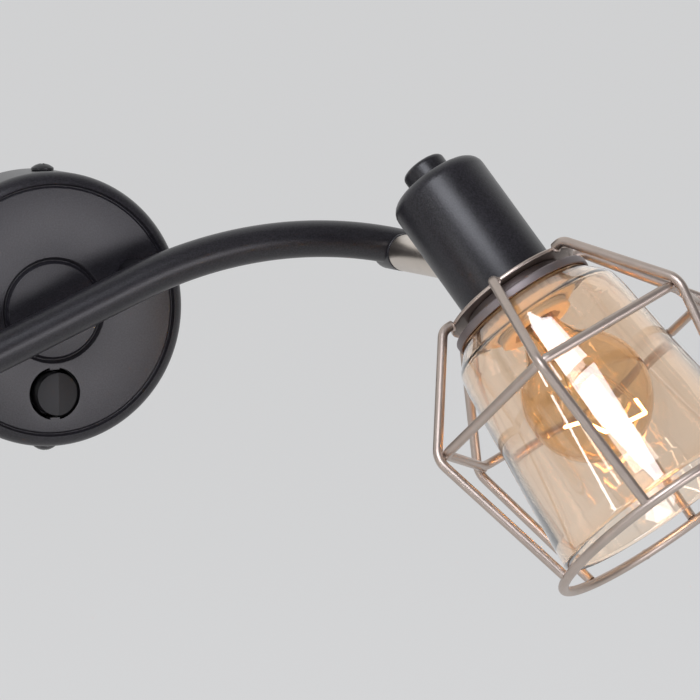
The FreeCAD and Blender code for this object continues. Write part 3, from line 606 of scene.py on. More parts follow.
class Graph:
    """The node tree of one material or of the world."""

    def __init__(self, tree: bpy.types.NodeTree, output: str = "ShaderNodeOutputMaterial") -> None:
        """Empty the tree and give it its output.

        Args:
            tree: The tree.
            output: The type of its output node.
        """
        self.tree = tree
        tree.nodes.clear()
        self.output = tree.nodes.new(output)

    def node(
        self, kind: str, settings: Optional[dict] = None, sockets: Optional[dict] = None,
        out: Union[int, str] = 0,
    ) -> Wire:
        """Add a node.

        Args:
            kind: The node's type.
            settings: Its own settings, set first.
            sockets: Values or wires for its inputs, by name or number.
            out: The output that is wanted.

        Returns:
            That output.
        """
        made = self.tree.nodes.new(kind)
        for key, value in (settings or {}).items():
            setattr(made, key, value)
        for key, value in (sockets or {}).items():
            self.feed(made.inputs[key], value)
        return Wire(self, made.outputs[out])

    def feed(self, socket: bpy.types.NodeSocket, value: Value) -> None:
        """Link a wire to an input, or set the input's value.

        Args:
            socket: The input.
            value: The wire or the value.
        """
        if isinstance(value, Wire):
            self.tree.links.new(value.socket, socket)
        else:
            socket.default_value = value

    def shade(self, surface: Wire, volume: Optional[Wire] = None) -> None:
        """Link the finished shader to the output.

        Args:
            surface: The surface's shader.
            volume: The shader of what lies behind the surface.
        """
        self.feed(self.output.inputs["Surface"], surface)
        if volume:
            self.feed(self.output.inputs["Volume"], volume)

    def principled(self, colour: Value, roughness: Value, more: dict) -> Wire:
        """Add the main shader.

        Args:
            colour: Its base colour.
            roughness: Its roughness.
            more: Values or wires for its other inputs.

        Returns:
            The shader.
        """
        sockets = {"Base Color": colour, "Roughness": roughness, **more}
        return self.node("ShaderNodeBsdfPrincipled", {}, sockets)

    def seen(self, *kinds: str) -> Wire:
        """Tell the rays of some kinds from the rest.

        Args:
            kinds: The kinds, as the node names them.

        Returns:
            1 for such a ray and 0 for the others.
        """
        total = self.node("ShaderNodeLightPath", {}, {}, kinds[0])
        for kind in kinds[1:]:
            total = total.at_least(self.node("ShaderNodeLightPath", {}, {}, kind))
        return total

    def spot(self) -> Wire:
        """Give the place on the piece, in metres."""
        return self.node("ShaderNodeTexCoord", out="Object")

    def noise(self, scale: float, detail: float, stretch: Corner = (1, 1, 1)) -> Wire:
        """Add a cloudy pattern.

        Args:
            scale: Patches per metre.
            detail: How many finer layers it has.
            stretch: How much finer it is along each direction.

        Returns:
            The pattern, from 0 to 1.
        """
        where = self.node("ShaderNodeMapping", {}, {"Vector": self.spot(), "Scale": stretch})
        return self.node("ShaderNodeTexNoise", {}, {"Vector": where, "Scale": scale, "Detail": detail})

    def spangle(self, scale: float) -> Wire:
        """Add a pattern of crystals, so many a metre."""
        return self.node("ShaderNodeTexVoronoi", {}, {"Vector": self.spot(), "Scale": scale}, "Distance")

    def mix(self, share: Value, first: Value, second: Value) -> Wire:
        """Mix two colours."""
        return self.node("ShaderNodeMix", {"data_type": "RGBA"}, {0: share, 6: first, 7: second}, 2)

    def blend(self, share: float, broad: Wire, fine: Wire) -> Wire:
        """Weigh two patterns against each other."""
        return share * broad + (1 - share) * fine if share else fine

    def between(self, value: Wire, low: float, high: float) -> Wire:
        """Bring a pattern from 0 to 1 into a range."""
        return value * (high - low) + low

    def bump(self, height: Wire, depth: float) -> Wire:
        """Turn a pattern into a relief of a depth in millimetres."""
        return self.node("ShaderNodeBump", {}, {"Height": height, "Distance": depth * MM, "Strength": 1.0})


# Finishes

class Finish:
    """What a surface is finished with. Each kind paints its own graph."""

    label: str = ""
    slot: str = ""

    def material(self) -> bpy.types.Material:
        """Give the material, made once.

        Returns:
            The material.
        """
        name = f"{self.label}_finish"
        made = bpy.data.materials.get(name)
        if made is None:
            made = bpy.data.materials.new(name)
            made.use_nodes = True
            self.paint(Graph(made.node_tree))
        return made

    def paint(self, graph: Graph) -> None:
        """Build the shader."""
        raise NotImplementedError


@dataclass(frozen=True)
class Lacquer(Finish):
    """Smooth black satin lacquer with a faint orange peel."""

    label: str = "black_lacquer"
    slot: str = "black_lacquer"
    dark: tuple = tone(0.0048, 0.0044, 0.0064)
    pale: tuple = tone(0.0200, 0.0186, 0.0240)
    clouds: tuple = (70, 3)
    grain: tuple = (1700, 2)
    orange_peel: tuple = (820, 1)
    mottle: tuple = (0.5, 3.2, 1.35)
    cloudy: float = 0.4
    gloss: float = 0.29
    spread: float = 0.12
    peel: float = 0.018
    grain_relief: float = 1.2

    def paint(self, graph: Graph) -> None:
        """Build the shader.

        Args:
            graph: The material's nodes.
        """
        clouds = graph.noise(*self.clouds)
        grain = graph.noise(*self.grain)
        relief = graph.noise(*self.orange_peel) + self.grain_relief * grain
        broad, fine, shift = self.mottle
        patch = graph.blend(self.cloudy, clouds, grain)
        graph.shade(graph.principled(
            graph.mix(broad * clouds + fine * grain - shift, self.dark, self.pale),
            graph.between(patch, self.gloss, self.gloss + self.spread),
            {"Normal": graph.bump(relief, self.peel)},
        ))


@dataclass(frozen=True)
class Grained(Finish):
    """A finish whose colour and gloss drift with broad clouds or crystals and a fine grain, its relief.

    As it stands, satin nickel plate, finely brushed and a little warm.
    """

    label: str = "satin_nickel"
    slot: str = "nickel"
    dull: tuple = tone(0.425, 0.358, 0.315)
    bright: tuple = tone(0.605, 0.515, 0.455)
    metal: float = 1.0
    clouds: tuple = (160, 3)
    crystals: float = 0.0
    grain: tuple = (2400, 3)
    stretch: tuple = (1, 1, 1)
    clouds_tint: float = 0.6
    clouds_wear: float = 0.5
    gloss: float = 0.33
    spread: float = 0.14
    relief: float = 0.004

    def paint(self, graph: Graph) -> None:
        """Build the shader.

        Args:
            graph: The material's nodes.
        """
        broad = graph.spangle(self.crystals) if self.crystals else graph.noise(*self.clouds)
        grain = graph.noise(*self.grain, self.stretch)
        tint = graph.blend(self.clouds_tint, broad, grain)
        wear = graph.blend(self.clouds_wear, broad, grain)
        graph.shade(graph.principled(
            graph.mix(tint, self.dull, self.bright),
            graph.between(wear, self.gloss, self.gloss + self.spread),
            {"Metallic": self.metal, "Normal": graph.bump(grain, self.relief)},
        ))


def plastic(
    name: str, gloss: float, colour: Corner = (0.0065, 0.0065, 0.0082), vary: float = 0.35
) -> Grained:
    """Describe a moulded plastic or thermoset.

    Args:
        name: Its name, which is also its slot's.
        gloss: Its least roughness.
        colour: Its deepest colour.
        vary: How much paler it gets.

    Returns:
        The finish.
    """
    pale = tone(*(part * (1 + vary) for part in colour))
    return Grained(
        name, name, tone(*colour), pale, metal=0.0, clouds=(125, 2), grain=(1500, 2),
        clouds_tint=0.7, clouds_wear=0.0, gloss=gloss, spread=0.12, relief=0.005,
    )


@dataclass(frozen=True)
class Glass(Finish):
    """Clear or tinted glass, deeper where it is thicker, which lets light pass to what is inside."""

    label: str = "amber_glass"
    slot: str = "amber_glass"
    absorbed: tuple = tone(0.945, 0.62, 0.24)
    density: float = 80.0
    stain: tuple = tone(0.985, 0.905, 0.825)
    stain_varies: float = 1.01
    veil: tuple = tone(0.93, 0.84, 0.70)
    swell: tuple = (45, 1)
    seeds: tuple = (500, 1)
    roughness: tuple = (0.0, 0.012)
    ripple: float = 0.12
    index: float = 1.47
    lustre: float = 1.0
    lustre_index: float = 1.65
    lustre_roughness: float = 0.01

    def paint(self, graph: Graph) -> None:
        """Build the shader.

        Args:
            graph: The material's nodes.
        """
        swell, seeds = graph.noise(*self.swell), graph.noise(*self.seeds)
        pale = tone(*(self.stain_varies * part for part in self.stain[:3]))
        stain, roughness = graph.mix(seeds, self.stain, pale), graph.between(seeds, *self.roughness)
        solid = graph.principled(stain, roughness, {
            "IOR": self.index,
            "Transmission Weight": 1.0,
            "Coat Weight": self.lustre,
            "Coat IOR": self.lustre_index,
            "Coat Roughness": self.lustre_roughness,
            "Normal": graph.bump(swell, self.ripple),
        })
        clear = graph.node("ShaderNodeBsdfTransparent", {}, {"Color": self.veil})
        passing = graph.seen("Is Shadow Ray", "Is Diffuse Ray")
        absorbed = {"Color": self.absorbed, "Density": self.density}
        tint = graph.node("ShaderNodeVolumeAbsorption", {}, absorbed)
        graph.shade(graph.node("ShaderNodeMixShader", {}, {0: passing, 1: solid, 2: clear}), tint)


@dataclass(frozen=True)
class Glow(Finish):
    """White-hot filament wire."""

    label: str = "filament_glow"
    slot: str = "filament_wire"
    metal: tuple = tone(0.9, 0.6, 0.3)
    cooler: tuple = tone(1.0, 0.56, 0.22)
    hotter: tuple = tone(1.0, 0.74, 0.42)
    heat: tuple = (250, 1)
    roughness: tuple = (0.4, 0.6)
    strength: float = 28.0

    def paint(self, graph: Graph) -> None:
        """Build the shader.

        Args:
            graph: The material's nodes.
        """
        heat = graph.noise(*self.heat)
        graph.shade(graph.principled(self.metal, graph.between(heat, *self.roughness), {
            "Emission Color": graph.mix(heat, self.cooler, self.hotter), "Emission Strength": self.strength,
        }))


LACQUER = Lacquer()
NICKEL = Grained()
# The dish's nickel is painted darker than the ribs' nickel: partly its own duller tone, partly painted
# shade for the gap under the plate.
PRESSING_WITH_PAINTED_SHADE = Grained(
    label="nickel_pressing_with_painted_shade", dull=tone(0.20, 0.174, 0.174), bright=tone(0.285, 0.25, 0.25),
    gloss=0.48, spread=0.08,
)
TURNED = Grained(
    label="turned_nickel", dull=tone(0.55, 0.49, 0.43), bright=tone(0.74, 0.665, 0.59),
    gloss=0.27, spread=0.12, stretch=(1, 8, 1), relief=0.006,
)
LEAD = Grained(label="lead_wire", slot="filament_wire", gloss=0.3)
BRASS = Grained(
    label="bulb_brass", slot="bulb_brass", dull=tone(0.50, 0.37, 0.17), bright=tone(0.72, 0.58, 0.32),
    grain=(400, 4), clouds_tint=0.0, clouds_wear=0.0, gloss=0.2, spread=0.18,
)
ZINC = Grained(
    label="zinc_sheet", slot="zinc_sheet", dull=tone(0.42, 0.43, 0.44), bright=tone(0.58, 0.59, 0.60),
    crystals=900.0, grain=(300, 4), clouds_tint=0.0, gloss=0.32, spread=0.2, relief=0.006,
)
BLACK_SCREW = replace(plastic("black_screw", 0.28), relief=0.004)
SWITCH_PLASTIC = plastic("switch_plastic", 0.42)
WASHER_PLASTIC = plastic("washer_plastic", 0.45)
BLOCK_PLASTIC = plastic("terminal_plastic", 0.4, (0.66, 0.64, 0.58), 0.12)
HOLDER_PLASTIC = plastic("holder_plastic", 0.35, (0.58, 0.545, 0.50), 0.15)
AMBER = Glass()
BULB_GLASS = Glass(
    label="clear_glass", slot="clear_glass", absorbed=tone(0.897, 0.60, 0.036), density=620.0,
    stain=tone(0.985, 0.98, 0.97), veil=tone(0.95, 0.86, 0.70), ripple=0.03, lustre=0.3,
)
PRESS_GLASS = Glass(
    label="press_glass", slot="clear_glass", absorbed=tone(0.95, 0.95, 0.95), density=20.0,
    stain=tone(0.985, 0.98, 0.97), veil=tone(0.95, 0.95, 0.95), ripple=0.01, lustre=0.0,
)
GLOW = Glow()


# Pieces

def add_piece(
    form: Form, name: str, finish: Finish, body: str, place: Optional[Place] = None,
    replaces: Sequence[str] = (), sharp: float = 35,
) -> None:
    """Turn a form into a piece of the lamp.

    Args:
        form: The finished form, in local millimetres, or in metres where there is no place.
        name: The piece's name.
        finish: What its surface is finished with.
        body: The CAD body that it moves with.
        place: The frame in which it was modelled.
        replaces: The CAD nodes that it stands for.
        sharp: The angle in degrees past which an edge stays sharp.
    """
    if place:
        form.moved(place.matrix())
    bmesh.ops.recalc_face_normals(form.bm, faces=form.bm.faces)
    mesh = bpy.data.meshes.new(name)
    form.bm.to_mesh(mesh)
    form.bm.free()
    mesh.shade_smooth()
    mesh.set_sharp_from_angle(angle=math.radians(sharp))
    mesh.materials.append(finish.material())
    piece = bpy.data.objects.new(name, mesh)
    bpy.context.scene.collection.objects.link(piece)
    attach(piece, body)
    if replaces:
        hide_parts(*replaces)
    LOG.info("%s: %d faces on %s", name, len(mesh.polygons), body)


def smooth_node(node: str, name: str, finish: Finish, body: str) -> None:
    """Stand a smooth copy of a CAD node in its place."""
    add_piece(from_cad(node), name, finish, body, None, [node])


def dress_node(node: str, finish: Finish) -> None:
    """Give a CAD node that stays its finish.

    Args:
        node: The node's name.
        finish: What its surface is finished with.
    """
    mesh = frame["nodes"][node].data
    mesh.materials.clear()
    mesh.materials.append(finish.material())
    LOG.info("%s: kept, in %s", node, finish.label)


@dataclass
class Base:
    """The round base on the wall: cover, screws, switch, bracket and posts."""

    radius: float = 50.0
    depth: float = 27.0
    crest: float = 27.8
    back: float = 0.4
    wall: float = 1.2
    rim_round: float = 5.6
    rim_turn: float = 75.0
    rim_steps: int = 12
    groove: tuple = (45.6, 45.05, 44.3)
    groove_depth: float = 0.95
    ring: tuple = (19.25, 16.95)
    ring_depth: float = 1.9
    screw: DomedScrew = DomedScrew(4.1, 2.5, 0.9, 2.0, 7.0, (0.9, 4.4, 1.3))
    screw_depth: float = 14.0
    hole: float = 2.2
    hole_reach: float = 8.0
    switch_at: float = -30.25
    switch_hole: float = 9.6
    switch_cut: tuple = (10.0, 37.0)
    flange: tuple = (8.4, 11.2, 0.6)
    flange_below: float = 4.0
    tab_width: float = 1.8
    tab_height: float = 0.85
    rocker_radius: float = 7.75
    rocker_crest: float = 2.4
    rocker_edge: float = 1.3
    rocker_pivot: float = 4.2
    rocker_back: float = 2.2
    rocker_taper: float = 1.1
    rocker_rest: float = 6.0
    spare: float = 1.0

    def place(self) -> Place:
        """Give the frame of the base, with Z out of the wall and Y up."""
        return Place(Vector((0, 0, 0)), RIGHT, OUT)

    def cover(self) -> None:
        """Turn the pan and cut its switch hole and screw holes."""
        face, wall, rim = self.depth, self.wall, self.rim_round
        out_r, mid_r, in_r = self.groove
        ring_out, ring_in = self.ring
        ring_mid = (ring_out + ring_in) / 2
        floor, ring_floor = face - self.groove_depth, face - self.ring_depth
        bend = (self.radius - rim, self.crest - rim)
        pan = Form().lathe([
            (self.radius, self.back), *arc(bend, rim, 0, self.rim_turn, self.rim_steps),
            (out_r, face, CRISP), (mid_r, floor, EASED), (in_r, face, 0.45),
            (ring_out, face, 0.25), (ring_mid, ring_floor, 0.35), (ring_in, face, 0.25), (0, face),
            (0, face - wall), (ring_in - wall, face - wall), (ring_mid, ring_floor - wall / 2),
            (ring_out + wall, face - wall), (in_r - wall, face - wall, 0.5), (mid_r - wall, floor - wall),
            *arc(bend, rim - wall, self.rim_turn, 0, self.rim_steps), (self.radius - wall, self.back),
        ], LARGE)
        low, high = self.switch_cut
        opening = Form().bar(self.switch_hole, (0, self.switch_at, low), (0, self.switch_at, high), SMALL)
        for way in (1, -1):
            near = self.switch_at + way * (self.switch_hole - self.tab_height)
            far = self.switch_at + way * (self.switch_hole + self.spare)
            opening.carve(Form().block(
                (-self.tab_width, min(near, far), low - self.spare),
                (self.tab_width, max(near, far), high + self.spare),
            ))
        pan.carve(opening)
        for way in (1, -1):
            inside, outside = way * (self.radius - self.hole_reach), way * (self.radius + self.hole_reach)
            pan.carve(Form().bar(self.hole, (0, inside, self.screw_depth), (0, outside, self.screw_depth)))
        add_piece(pan, "cover_pan", LACQUER, Body.BASE.on(), self.place(), ["base_cover"], 30)

    def screws(self) -> None:
        """Put in the two screws that hold the cover to the bracket's ears."""
        for word, way in (("top", 1), ("bottom", -1)):
            place = Place(Vector((0, -self.screw_depth, way * self.radius)) * MM, RIGHT, UP * way)
            name, node = f"domed_screw_{word}", f"cover_screw_{word}"
            add_piece(self.screw.form(), name, BLACK_SCREW, Body.BASE.on(), place, [node], 30)

    def rocker(self) -> None:
        """Turn the rocker, cut its two flats and tip it to where it rests."""
        pivot, radius = self.depth - self.rocker_pivot, self.rocker_radius
        crest, edge = self.depth + self.rocker_crest, self.depth + self.rocker_edge
        back, top = pivot - self.rocker_back, crest + 0.5
        plug = Form().lathe([
            (0, back), (radius - self.rocker_taper, back, 0.5), (radius, pivot, 1.0), (radius, top),
            (0, top),
        ], SMALL)
        rise = (crest - edge) / radius
        for way in (1, -1):
            bmesh.ops.bisect_plane(
                plug.bm, geom=plug.bm.verts[:] + plug.bm.edges[:] + plug.bm.faces[:], dist=0.0001,
                plane_co=(0, 0, crest), plane_no=Vector((way * rise, 0, 1)).normalized(), clear_outer=True,
            )
            bmesh.ops.holes_fill(plug.bm, edges=[e for e in plug.bm.edges if e.is_boundary], sides=0)
        bmesh.ops.recalc_face_normals(plug.bm, faces=plug.bm.faces)
        tip = (
            Matrix.Translation((0, self.switch_at, pivot))
            @ Matrix.Rotation(math.radians(self.rocker_rest), 4, "Y")
            @ Matrix.Translation((0, 0, -pivot))
        )
        plug.softened(EASED, 5).moved(tip)
        body, place = Body.ROCKER.on(), self.place()
        add_piece(plug, "rocker_button", SWITCH_PLASTIC, body, place, ["switch_rocker"], 60)

    def housing(self) -> None:
        """Sink the switch's body under the face, with a flange that closes the hole round the rocker."""
        place = Place(Vector((0, 0, self.switch_at)) * MM, RIGHT, OUT)
        body = from_cad("switch_body").moved(place.matrix().inverted())
        top = self.depth - self.flange_below
        for vert in body.bm.verts:
            vert.co.z = min(vert.co.z, top)
        bmesh.ops.dissolve_degenerate(body.bm, edges=body.bm.edges, dist=TINY)
        inner, outer, thick = self.flange
        body.lathe([(inner, top), (outer, top), (outer, top - thick), (inner, top - thick)], SMALL)
        add_piece(body, "switch_housing", SWITCH_PLASTIC, Body.BASE.on(), place, ["switch_body"], 12)

    def build(self) -> None:
        """Build the whole base."""
        self.cover()
        self.screws()
        self.rocker()
        self.housing()
        dress_node("wall_bracket", ZINC)
        dress_node("terminal_block", BLOCK_PLASTIC)
        for word in ("right", "left"):
            dress_node(f"post_nut_{word}", ZINC)
            smooth_node(f"arm_post_{word}", f"post_{word}", LACQUER, Body.BASE.on())


@dataclass
class Arm:
    """The wave-shaped tube with a hub across each end."""

    radius: float = 6.75
    out: float = 48.0
    slope: float = 24.1
    bend: float = 164.6
    crest: float = 91.0
    end: float = 128.5
    hub_radius: float = 6.85
    hub_back: float = 39.2
    hub_front: float = 55.4
    hub_round: float = 3.0
    bore: float = 4.65
    bore_depth: float = 4.6

    def tube(self, place: Place) -> None:
        """Bend the tube, the same way round at both ends.

        Args:
            place: The frame of the base.
        """
        slope = math.radians(self.slope)
        start = self.crest - self.bend * math.sin(slope)
        knee = Vector((start, start * math.tan(slope), self.out))
        fall = math.asin((self.end - self.crest) / self.bend)
        back = self.bend * math.tan((slope + fall) / 2)
        corner = knee + Vector((math.cos(slope), math.sin(slope), 0)) * back
        tip = corner + Vector((math.cos(fall), -math.sin(fall), 0)) * back
        twin = Matrix.Diagonal((-1, -1, 1))
        line = [twin @ tip, twin @ corner, corner, tip]
        bar = Form().rod(line, [self.bend, self.bend], self.radius, sides=64)
        add_piece(bar, "arm_bar", LACQUER, Body.BASE.on(), place, ["arm_tube"], 40)

    def hub(self, word: str, way: int) -> None:
        """Turn one hub.

        Args:
            word: The side of the lamp.
            way: 1 on the right and -1 on the left.
        """
        where = joint(f"pan_{word}")["pos_m"]
        place = Place(Vector((where[0], 0, where[2])), RIGHT * way, OUT)
        radius, front, floor = self.hub_radius, self.hub_front, self.hub_front - self.bore_depth
        body = Form().lathe([
            (0, self.hub_back), (radius, self.hub_back, self.hub_round), (radius, front, 0.45),
            (self.bore, front, CRISP), (self.bore, floor), (0, floor),
        ], SMALL)
        add_piece(body, f"arm_hub_{word}", LACQUER, Body.BASE.on(), place, [f"hub_{word}"], 30)

    def build(self, place: Place) -> None:
        """Build the arm.

        Args:
            place: The frame of the base.
        """
        self.tube(place)
        self.hub("right", 1)
        self.hub("left", -1)


@dataclass
class Swivel:
    """The forked stem between a hub and a head, with its washer, nut and tilt screw."""

    word: str
    radius: float = 6.75
    start: float = -47.25
    edge: float = 0.5
    spigot: float = 4.6
    spigot_end: float = -61.05
    gap: float = 4.8
    floor: float = 7.5
    flat: float = 5.5
    flat_radius: float = 4.3
    pin: float = 2.0
    screw_head: tuple = (3.7, 2.2, 0.9)
    screw_cross: tuple = (0.8, 3.8, 1.2)
    reach: float = 9.0

    def place(self) -> Place:
        """Work out the stem's frame, with its origin at the tilt pivot and Y along the pin.

        Returns:
            The frame.
        """
        tilt = joint(f"tilt_{self.word}")
        pin = Vector(tilt["axis"]).normalized()
        return Place(Vector(tilt["pos_m"]), pin.cross(OUT).normalized(), OUT)

    def stem(self) -> None:
        """Turn the stem, round its nose and cut the fork."""
        radius, far = self.radius, self.reach
        body = Form().lathe([
            (0, self.spigot_end), (self.spigot, self.spigot_end, SOFT), (self.spigot, self.start),
            (radius, self.start, self.edge), (radius, radius), (0, radius),
        ], SMALL)
        nose = Form().block((-far, -far, 0), (far, far, far))
        nose.carve(Form().bar(radius, (0, -far - 1, 0), (0, far + 1, 0), SMALL))
        body.carve(nose)
        body.carve(Form().block((-far, -self.gap / 2, -self.floor), (far, self.gap / 2, far)))
        for way in (1, -1):
            body.carve(Form().bar(self.flat_radius, (0, way * self.flat, 0), (0, way * (radius + 1), 0)))
        body.carve(Form().bar(self.pin, (0, -far, 0), (0, far, 0), 32))
        name, node = f"forked_stem_{self.word}", f"swivel_stem_{self.word}"
        add_piece(body, name, TURNED, Body.SWIVEL.on(self.word), self.place(), [node], 30)

    def screw(self) -> None:
        """Put the tilt screw through the fork."""
        home = self.place()
        pin = home.axis.cross(home.across)
        screw = DomedScrew(*self.screw_head, self.pin, 2 * self.flat, self.screw_cross)
        seat = Place(home.origin + pin * self.flat * MM, home.axis, pin)
        name, node = f"fork_screw_{self.word}", f"tilt_screw_{self.word}"
        add_piece(screw.form(), name, NICKEL, Body.SWIVEL.on(self.word), seat, [node], 30)

    def build(self) -> None:
        """Build the stem and dress its small parts."""
        self.stem()
        self.screw()
        dress_node(f"pan_washer_{self.word}", WASHER_PLASTIC)
        dress_node(f"pan_nut_{self.word}", ZINC)


@dataclass
class Head:
    """A head in its own frame: X toward the lug, Y along the tilt pin, Z toward the mouth."""

    word: str
    pivot_off: float = 26.0
    cup_radius: float = 18.05
    cup_top: float = -22.8
    cup_mouth: float = 25.0
    cup_wall: float = 1.2
    cup_round: float = 5.0
    cup_hole: float = 4.1
    cap_radius: float = 8.05
    cap_height: float = 7.0
    cap_round: float = 1.7
    cap_chamfer: tuple = (0.35, 0.4)
    cap_stud: tuple = (4.0, 4.5)
    plate_radius: float = 25.4
    plate_height: float = 1.3
    plate_wall: float = 1.0
    plate_lip: tuple = (1.6, 2.0)
    plate_hole: float = 14.1
    wire: float = 1.7
    ribs: int = 6
    rib_first: float = 26.9
    rib_at: float = 25.4
    neck_radius: float = 29.4
    neck_bend: float = 5.0
    cage_radius: float = 58.2
    wide_at: float = 63.3
    wide_bend: float = 8.0
    hexagon_bend: float = 6.0
    ring_radius: float = 44.6
    ring_at: float = 120.4
    foot_bead: tuple = (0.8, 2.1, 1.75)
    end_bead: tuple = (1.5, 2.0, 1.0)
    end_lean: float = 14.0
    side_bead: tuple = (0.75, 1.5, 0.7)
    side_bead_at: float = 1.1
    seam_rise: float = 0.12
    seam_half: float = 0.45
    dish_radius: float = 26.6
    dish_top: float = 30.2
    dish_height: float = 3.1
    dish_wall: float = 0.9
    dish_collar: float = 18.6

    def place(self) -> Place:
        """Work the head's frame out from its tilt joint and its cage.

        Returns:
            The frame.
        """
        tilt = joint(f"tilt_{self.word}")
        pin = Vector(tilt["axis"]).normalized()
        axis = (middle_of(f"cage_ring_{self.word}") - middle_of(f"cage_hexagon_{self.word}")).normalized()
        across = pin.cross(axis).normalized()
        return Place(Vector(tilt["pos_m"]) - across * self.pivot_off * MM, across, axis)

    def add(self, form: Form, name: str, finish: Finish, nodes: Sequence[str], sharp: float = 30) -> None:
        """Add a form to the head as a piece.

        Args:
            form: The finished form, in the head's frame.
            name: The piece's name, without the side.
            finish: What its surface is finished with.
            nodes: The CAD nodes that it stands for, without the side.
            sharp: The angle in degrees past which an edge stays sharp.
        """
        full = [f"{node}_{self.word}" for node in nodes]
        body = Body.HEAD.on(self.word)
        add_piece(form, f"{name}_{self.word}", finish, body, self.place(), full, sharp)

    def cup(self) -> None:
        """Turn the deep cup and the round cap on it, and smooth the lug."""
        wall, radius, bend, hole = self.cup_wall, self.cup_radius, self.cup_round, self.cup_hole
        top, mouth = self.cup_top, self.cup_mouth
        self.add(Form().lathe([
            (hole, top, CRISP), (radius, top, bend), (radius, mouth, EASED), (radius - wall, mouth, EASED),
            (radius - wall, top + wall, bend - wall), (hole, top + wall),
        ]), "lamp_cup", LACQUER, ["cup"])
        radius, high = self.cap_radius, top - self.cap_height
        inward, upright = self.cap_chamfer
        stud, sunk = self.cap_stud
        self.add(Form().lathe([
            (0, high), (radius, high, self.cap_round), (radius, top - upright, CRISP),
            (radius - inward, top, 0.1), (stud, top), (stud, top + sunk, SOFT), (0, top + sunk),
        ], SMALL), "cup_knob", LACQUER, ["cap_nut"])
        word = self.word
        smooth_node(f"cup_lug_{word}", f"tilt_lug_{word}", LACQUER, Body.HEAD.on(word))

    def plate(self) -> None:
        """Turn the thin plate under the cup, which carries the ribs."""
        low, radius, hole = self.cup_mouth, self.plate_radius, self.plate_hole
        high, floor = low + self.plate_height, low + self.plate_wall
        lip_top, lip_foot = self.plate_lip
        self.add(Form().lathe([
            (hole, low, CRISP), (radius, low, 0.55), (radius, high, EASED), (radius - lip_top, high, EASED),
            (radius - lip_foot, floor, CRISP), (hole, floor, CRISP),
        ]), "rib_plate", NICKEL, ["cage_plate"])

    def rib_line(self) -> list[Vector]:
        """Give the corners of a rib's centre line.

        Returns:
            The four corners, in the plane of X and Z.
        """
        return [
            Vector((self.plate_radius, 0, self.rib_at)), Vector((self.neck_radius, 0, self.rib_at)),
            Vector((self.cage_radius, 0, self.wide_at)), Vector((self.ring_radius, 0, self.ring_at)),
        ]

    def corner_back(self) -> float:
        """Work out how far the hexagon's rounded corners lie inside its sharp ones."""
        return self.hexagon_bend * (1 / math.cos(math.pi / self.ribs) - 1)

    def hexagon_radius(self) -> float:
        """Work out where the hexagon's sharp corners lie, so that it touches the ribs from inside.

        Returns:
            Their distance from the head's axis.
        """
        neck, wide, end = self.rib_line()[1:]
        heading, leaving = (wide - neck).normalized(), (end - wide).normalized()
        outward = (heading - leaving).normalized()
        centre = wide - outward * (self.wide_bend / math.cos(heading.angle(leaving) / 2))
        reach = self.wide_bend - 2 * self.wire
        touch = centre.x + math.sqrt(reach ** 2 - (self.wide_at - centre.z) ** 2)
        return touch + self.corner_back()

    def turn(self, number: int) -> Matrix:
        """Give the turn that carries the first plane of X and Z to a rib."""
        return Matrix.Rotation(math.radians(self.rib_first) + number * math.tau / self.ribs, 4, "Z")

    def add_ribs(self) -> None:
        """Bend the six ribs, with a bead of weld at each end."""
        line = self.rib_line()
        down = (line[3] - line[2]).normalized()
        end = line[3] - down * (self.wire * 0.9)
        foot = Vector((self.plate_radius + 0.2, 0, self.rib_at + 0.4))
        lean = Matrix.Rotation(math.radians(self.end_lean), 3, "Y")
        for k in range(self.ribs):
            rib = Form().rod([*line[:3], end], [self.neck_bend, self.wide_bend], self.wire)
            rib.bead(foot, self.foot_bead, Matrix.Identity(3))
            rib.bead(end + down * 0.5, self.end_bead, lean)
            self.add(rib.moved(self.turn(k)), f"rib_{k + 1}", NICKEL, [f"cage_rib_{k + 1}"])

    def add_rings(self) -> None:
        """Bend the hexagon and the mouth ring, each with the seam of its ends."""
        radius = self.hexagon_radius()
        corners = [self.turn(k) @ Vector((radius, 0, self.wide_at)) for k in range(self.ribs)]
        hexagon = Form().rod(corners, [self.hexagon_bend] * self.ribs, self.wire, closed=True)
        touch = radius - self.corner_back() + self.wire * 0.95
        for k in range(self.ribs):
            for way in (1, -1):
                at = self.turn(k) @ Vector((touch, 0, self.wide_at + way * self.side_bead_at))
                hexagon.bead(at, self.side_bead, self.turn(k).to_3x3())
        thick, half = self.wire + self.seam_rise, self.seam_half
        seam = (corners[2] + corners[3]) / 2
        along = (corners[3] - corners[2]).normalized()
        hexagon.bar(thick, seam - along * half, seam + along * half, WIRE_SIDES)
        self.add(hexagon, "hexagon", NICKEL, ["cage_hexagon"])
        ring = Form().torus(self.ring_radius, self.wire, self.ring_at)
        seam, along = Vector((self.ring_radius, 0, self.ring_at)), Vector((0, 1, 0))
        ring.bar(thick, seam - along * half, seam + along * half, WIRE_SIDES)
        self.add(ring, "mouth_ring", NICKEL, ["cage_ring"])

    def dish(self) -> None:
        """Turn the shallow dish over the glass neck, in a darker nickel that partly paints the shade in the
        gap under the plate.
        """
        wall, radius, collar, hole = self.dish_wall, self.dish_radius, self.dish_collar, self.plate_hole
        seat = self.cup_mouth + self.plate_wall
        top, end = self.dish_top, self.dish_top + self.dish_height
        self.add(Form().lathe([
            (hole, seat), (collar, seat, SOFT), (collar, top, 0.6), (radius, top, 0.85),
            (radius, end, EASED), (radius - wall, end, EASED), (radius - wall, top + wall, SOFT),
            (collar - wall, top + wall, SOFT), (collar - wall, seat + wall, SOFT), (hole, seat + wall),
        ]), "glass_dish_cap", PRESSING_WITH_PAINTED_SHADE, ["glass_dish"])

    def build(self) -> None:
        """Build the head's metalwork."""
        self.cup()
        self.plate()
        self.add_ribs()
        self.add_rings()
        self.dish()


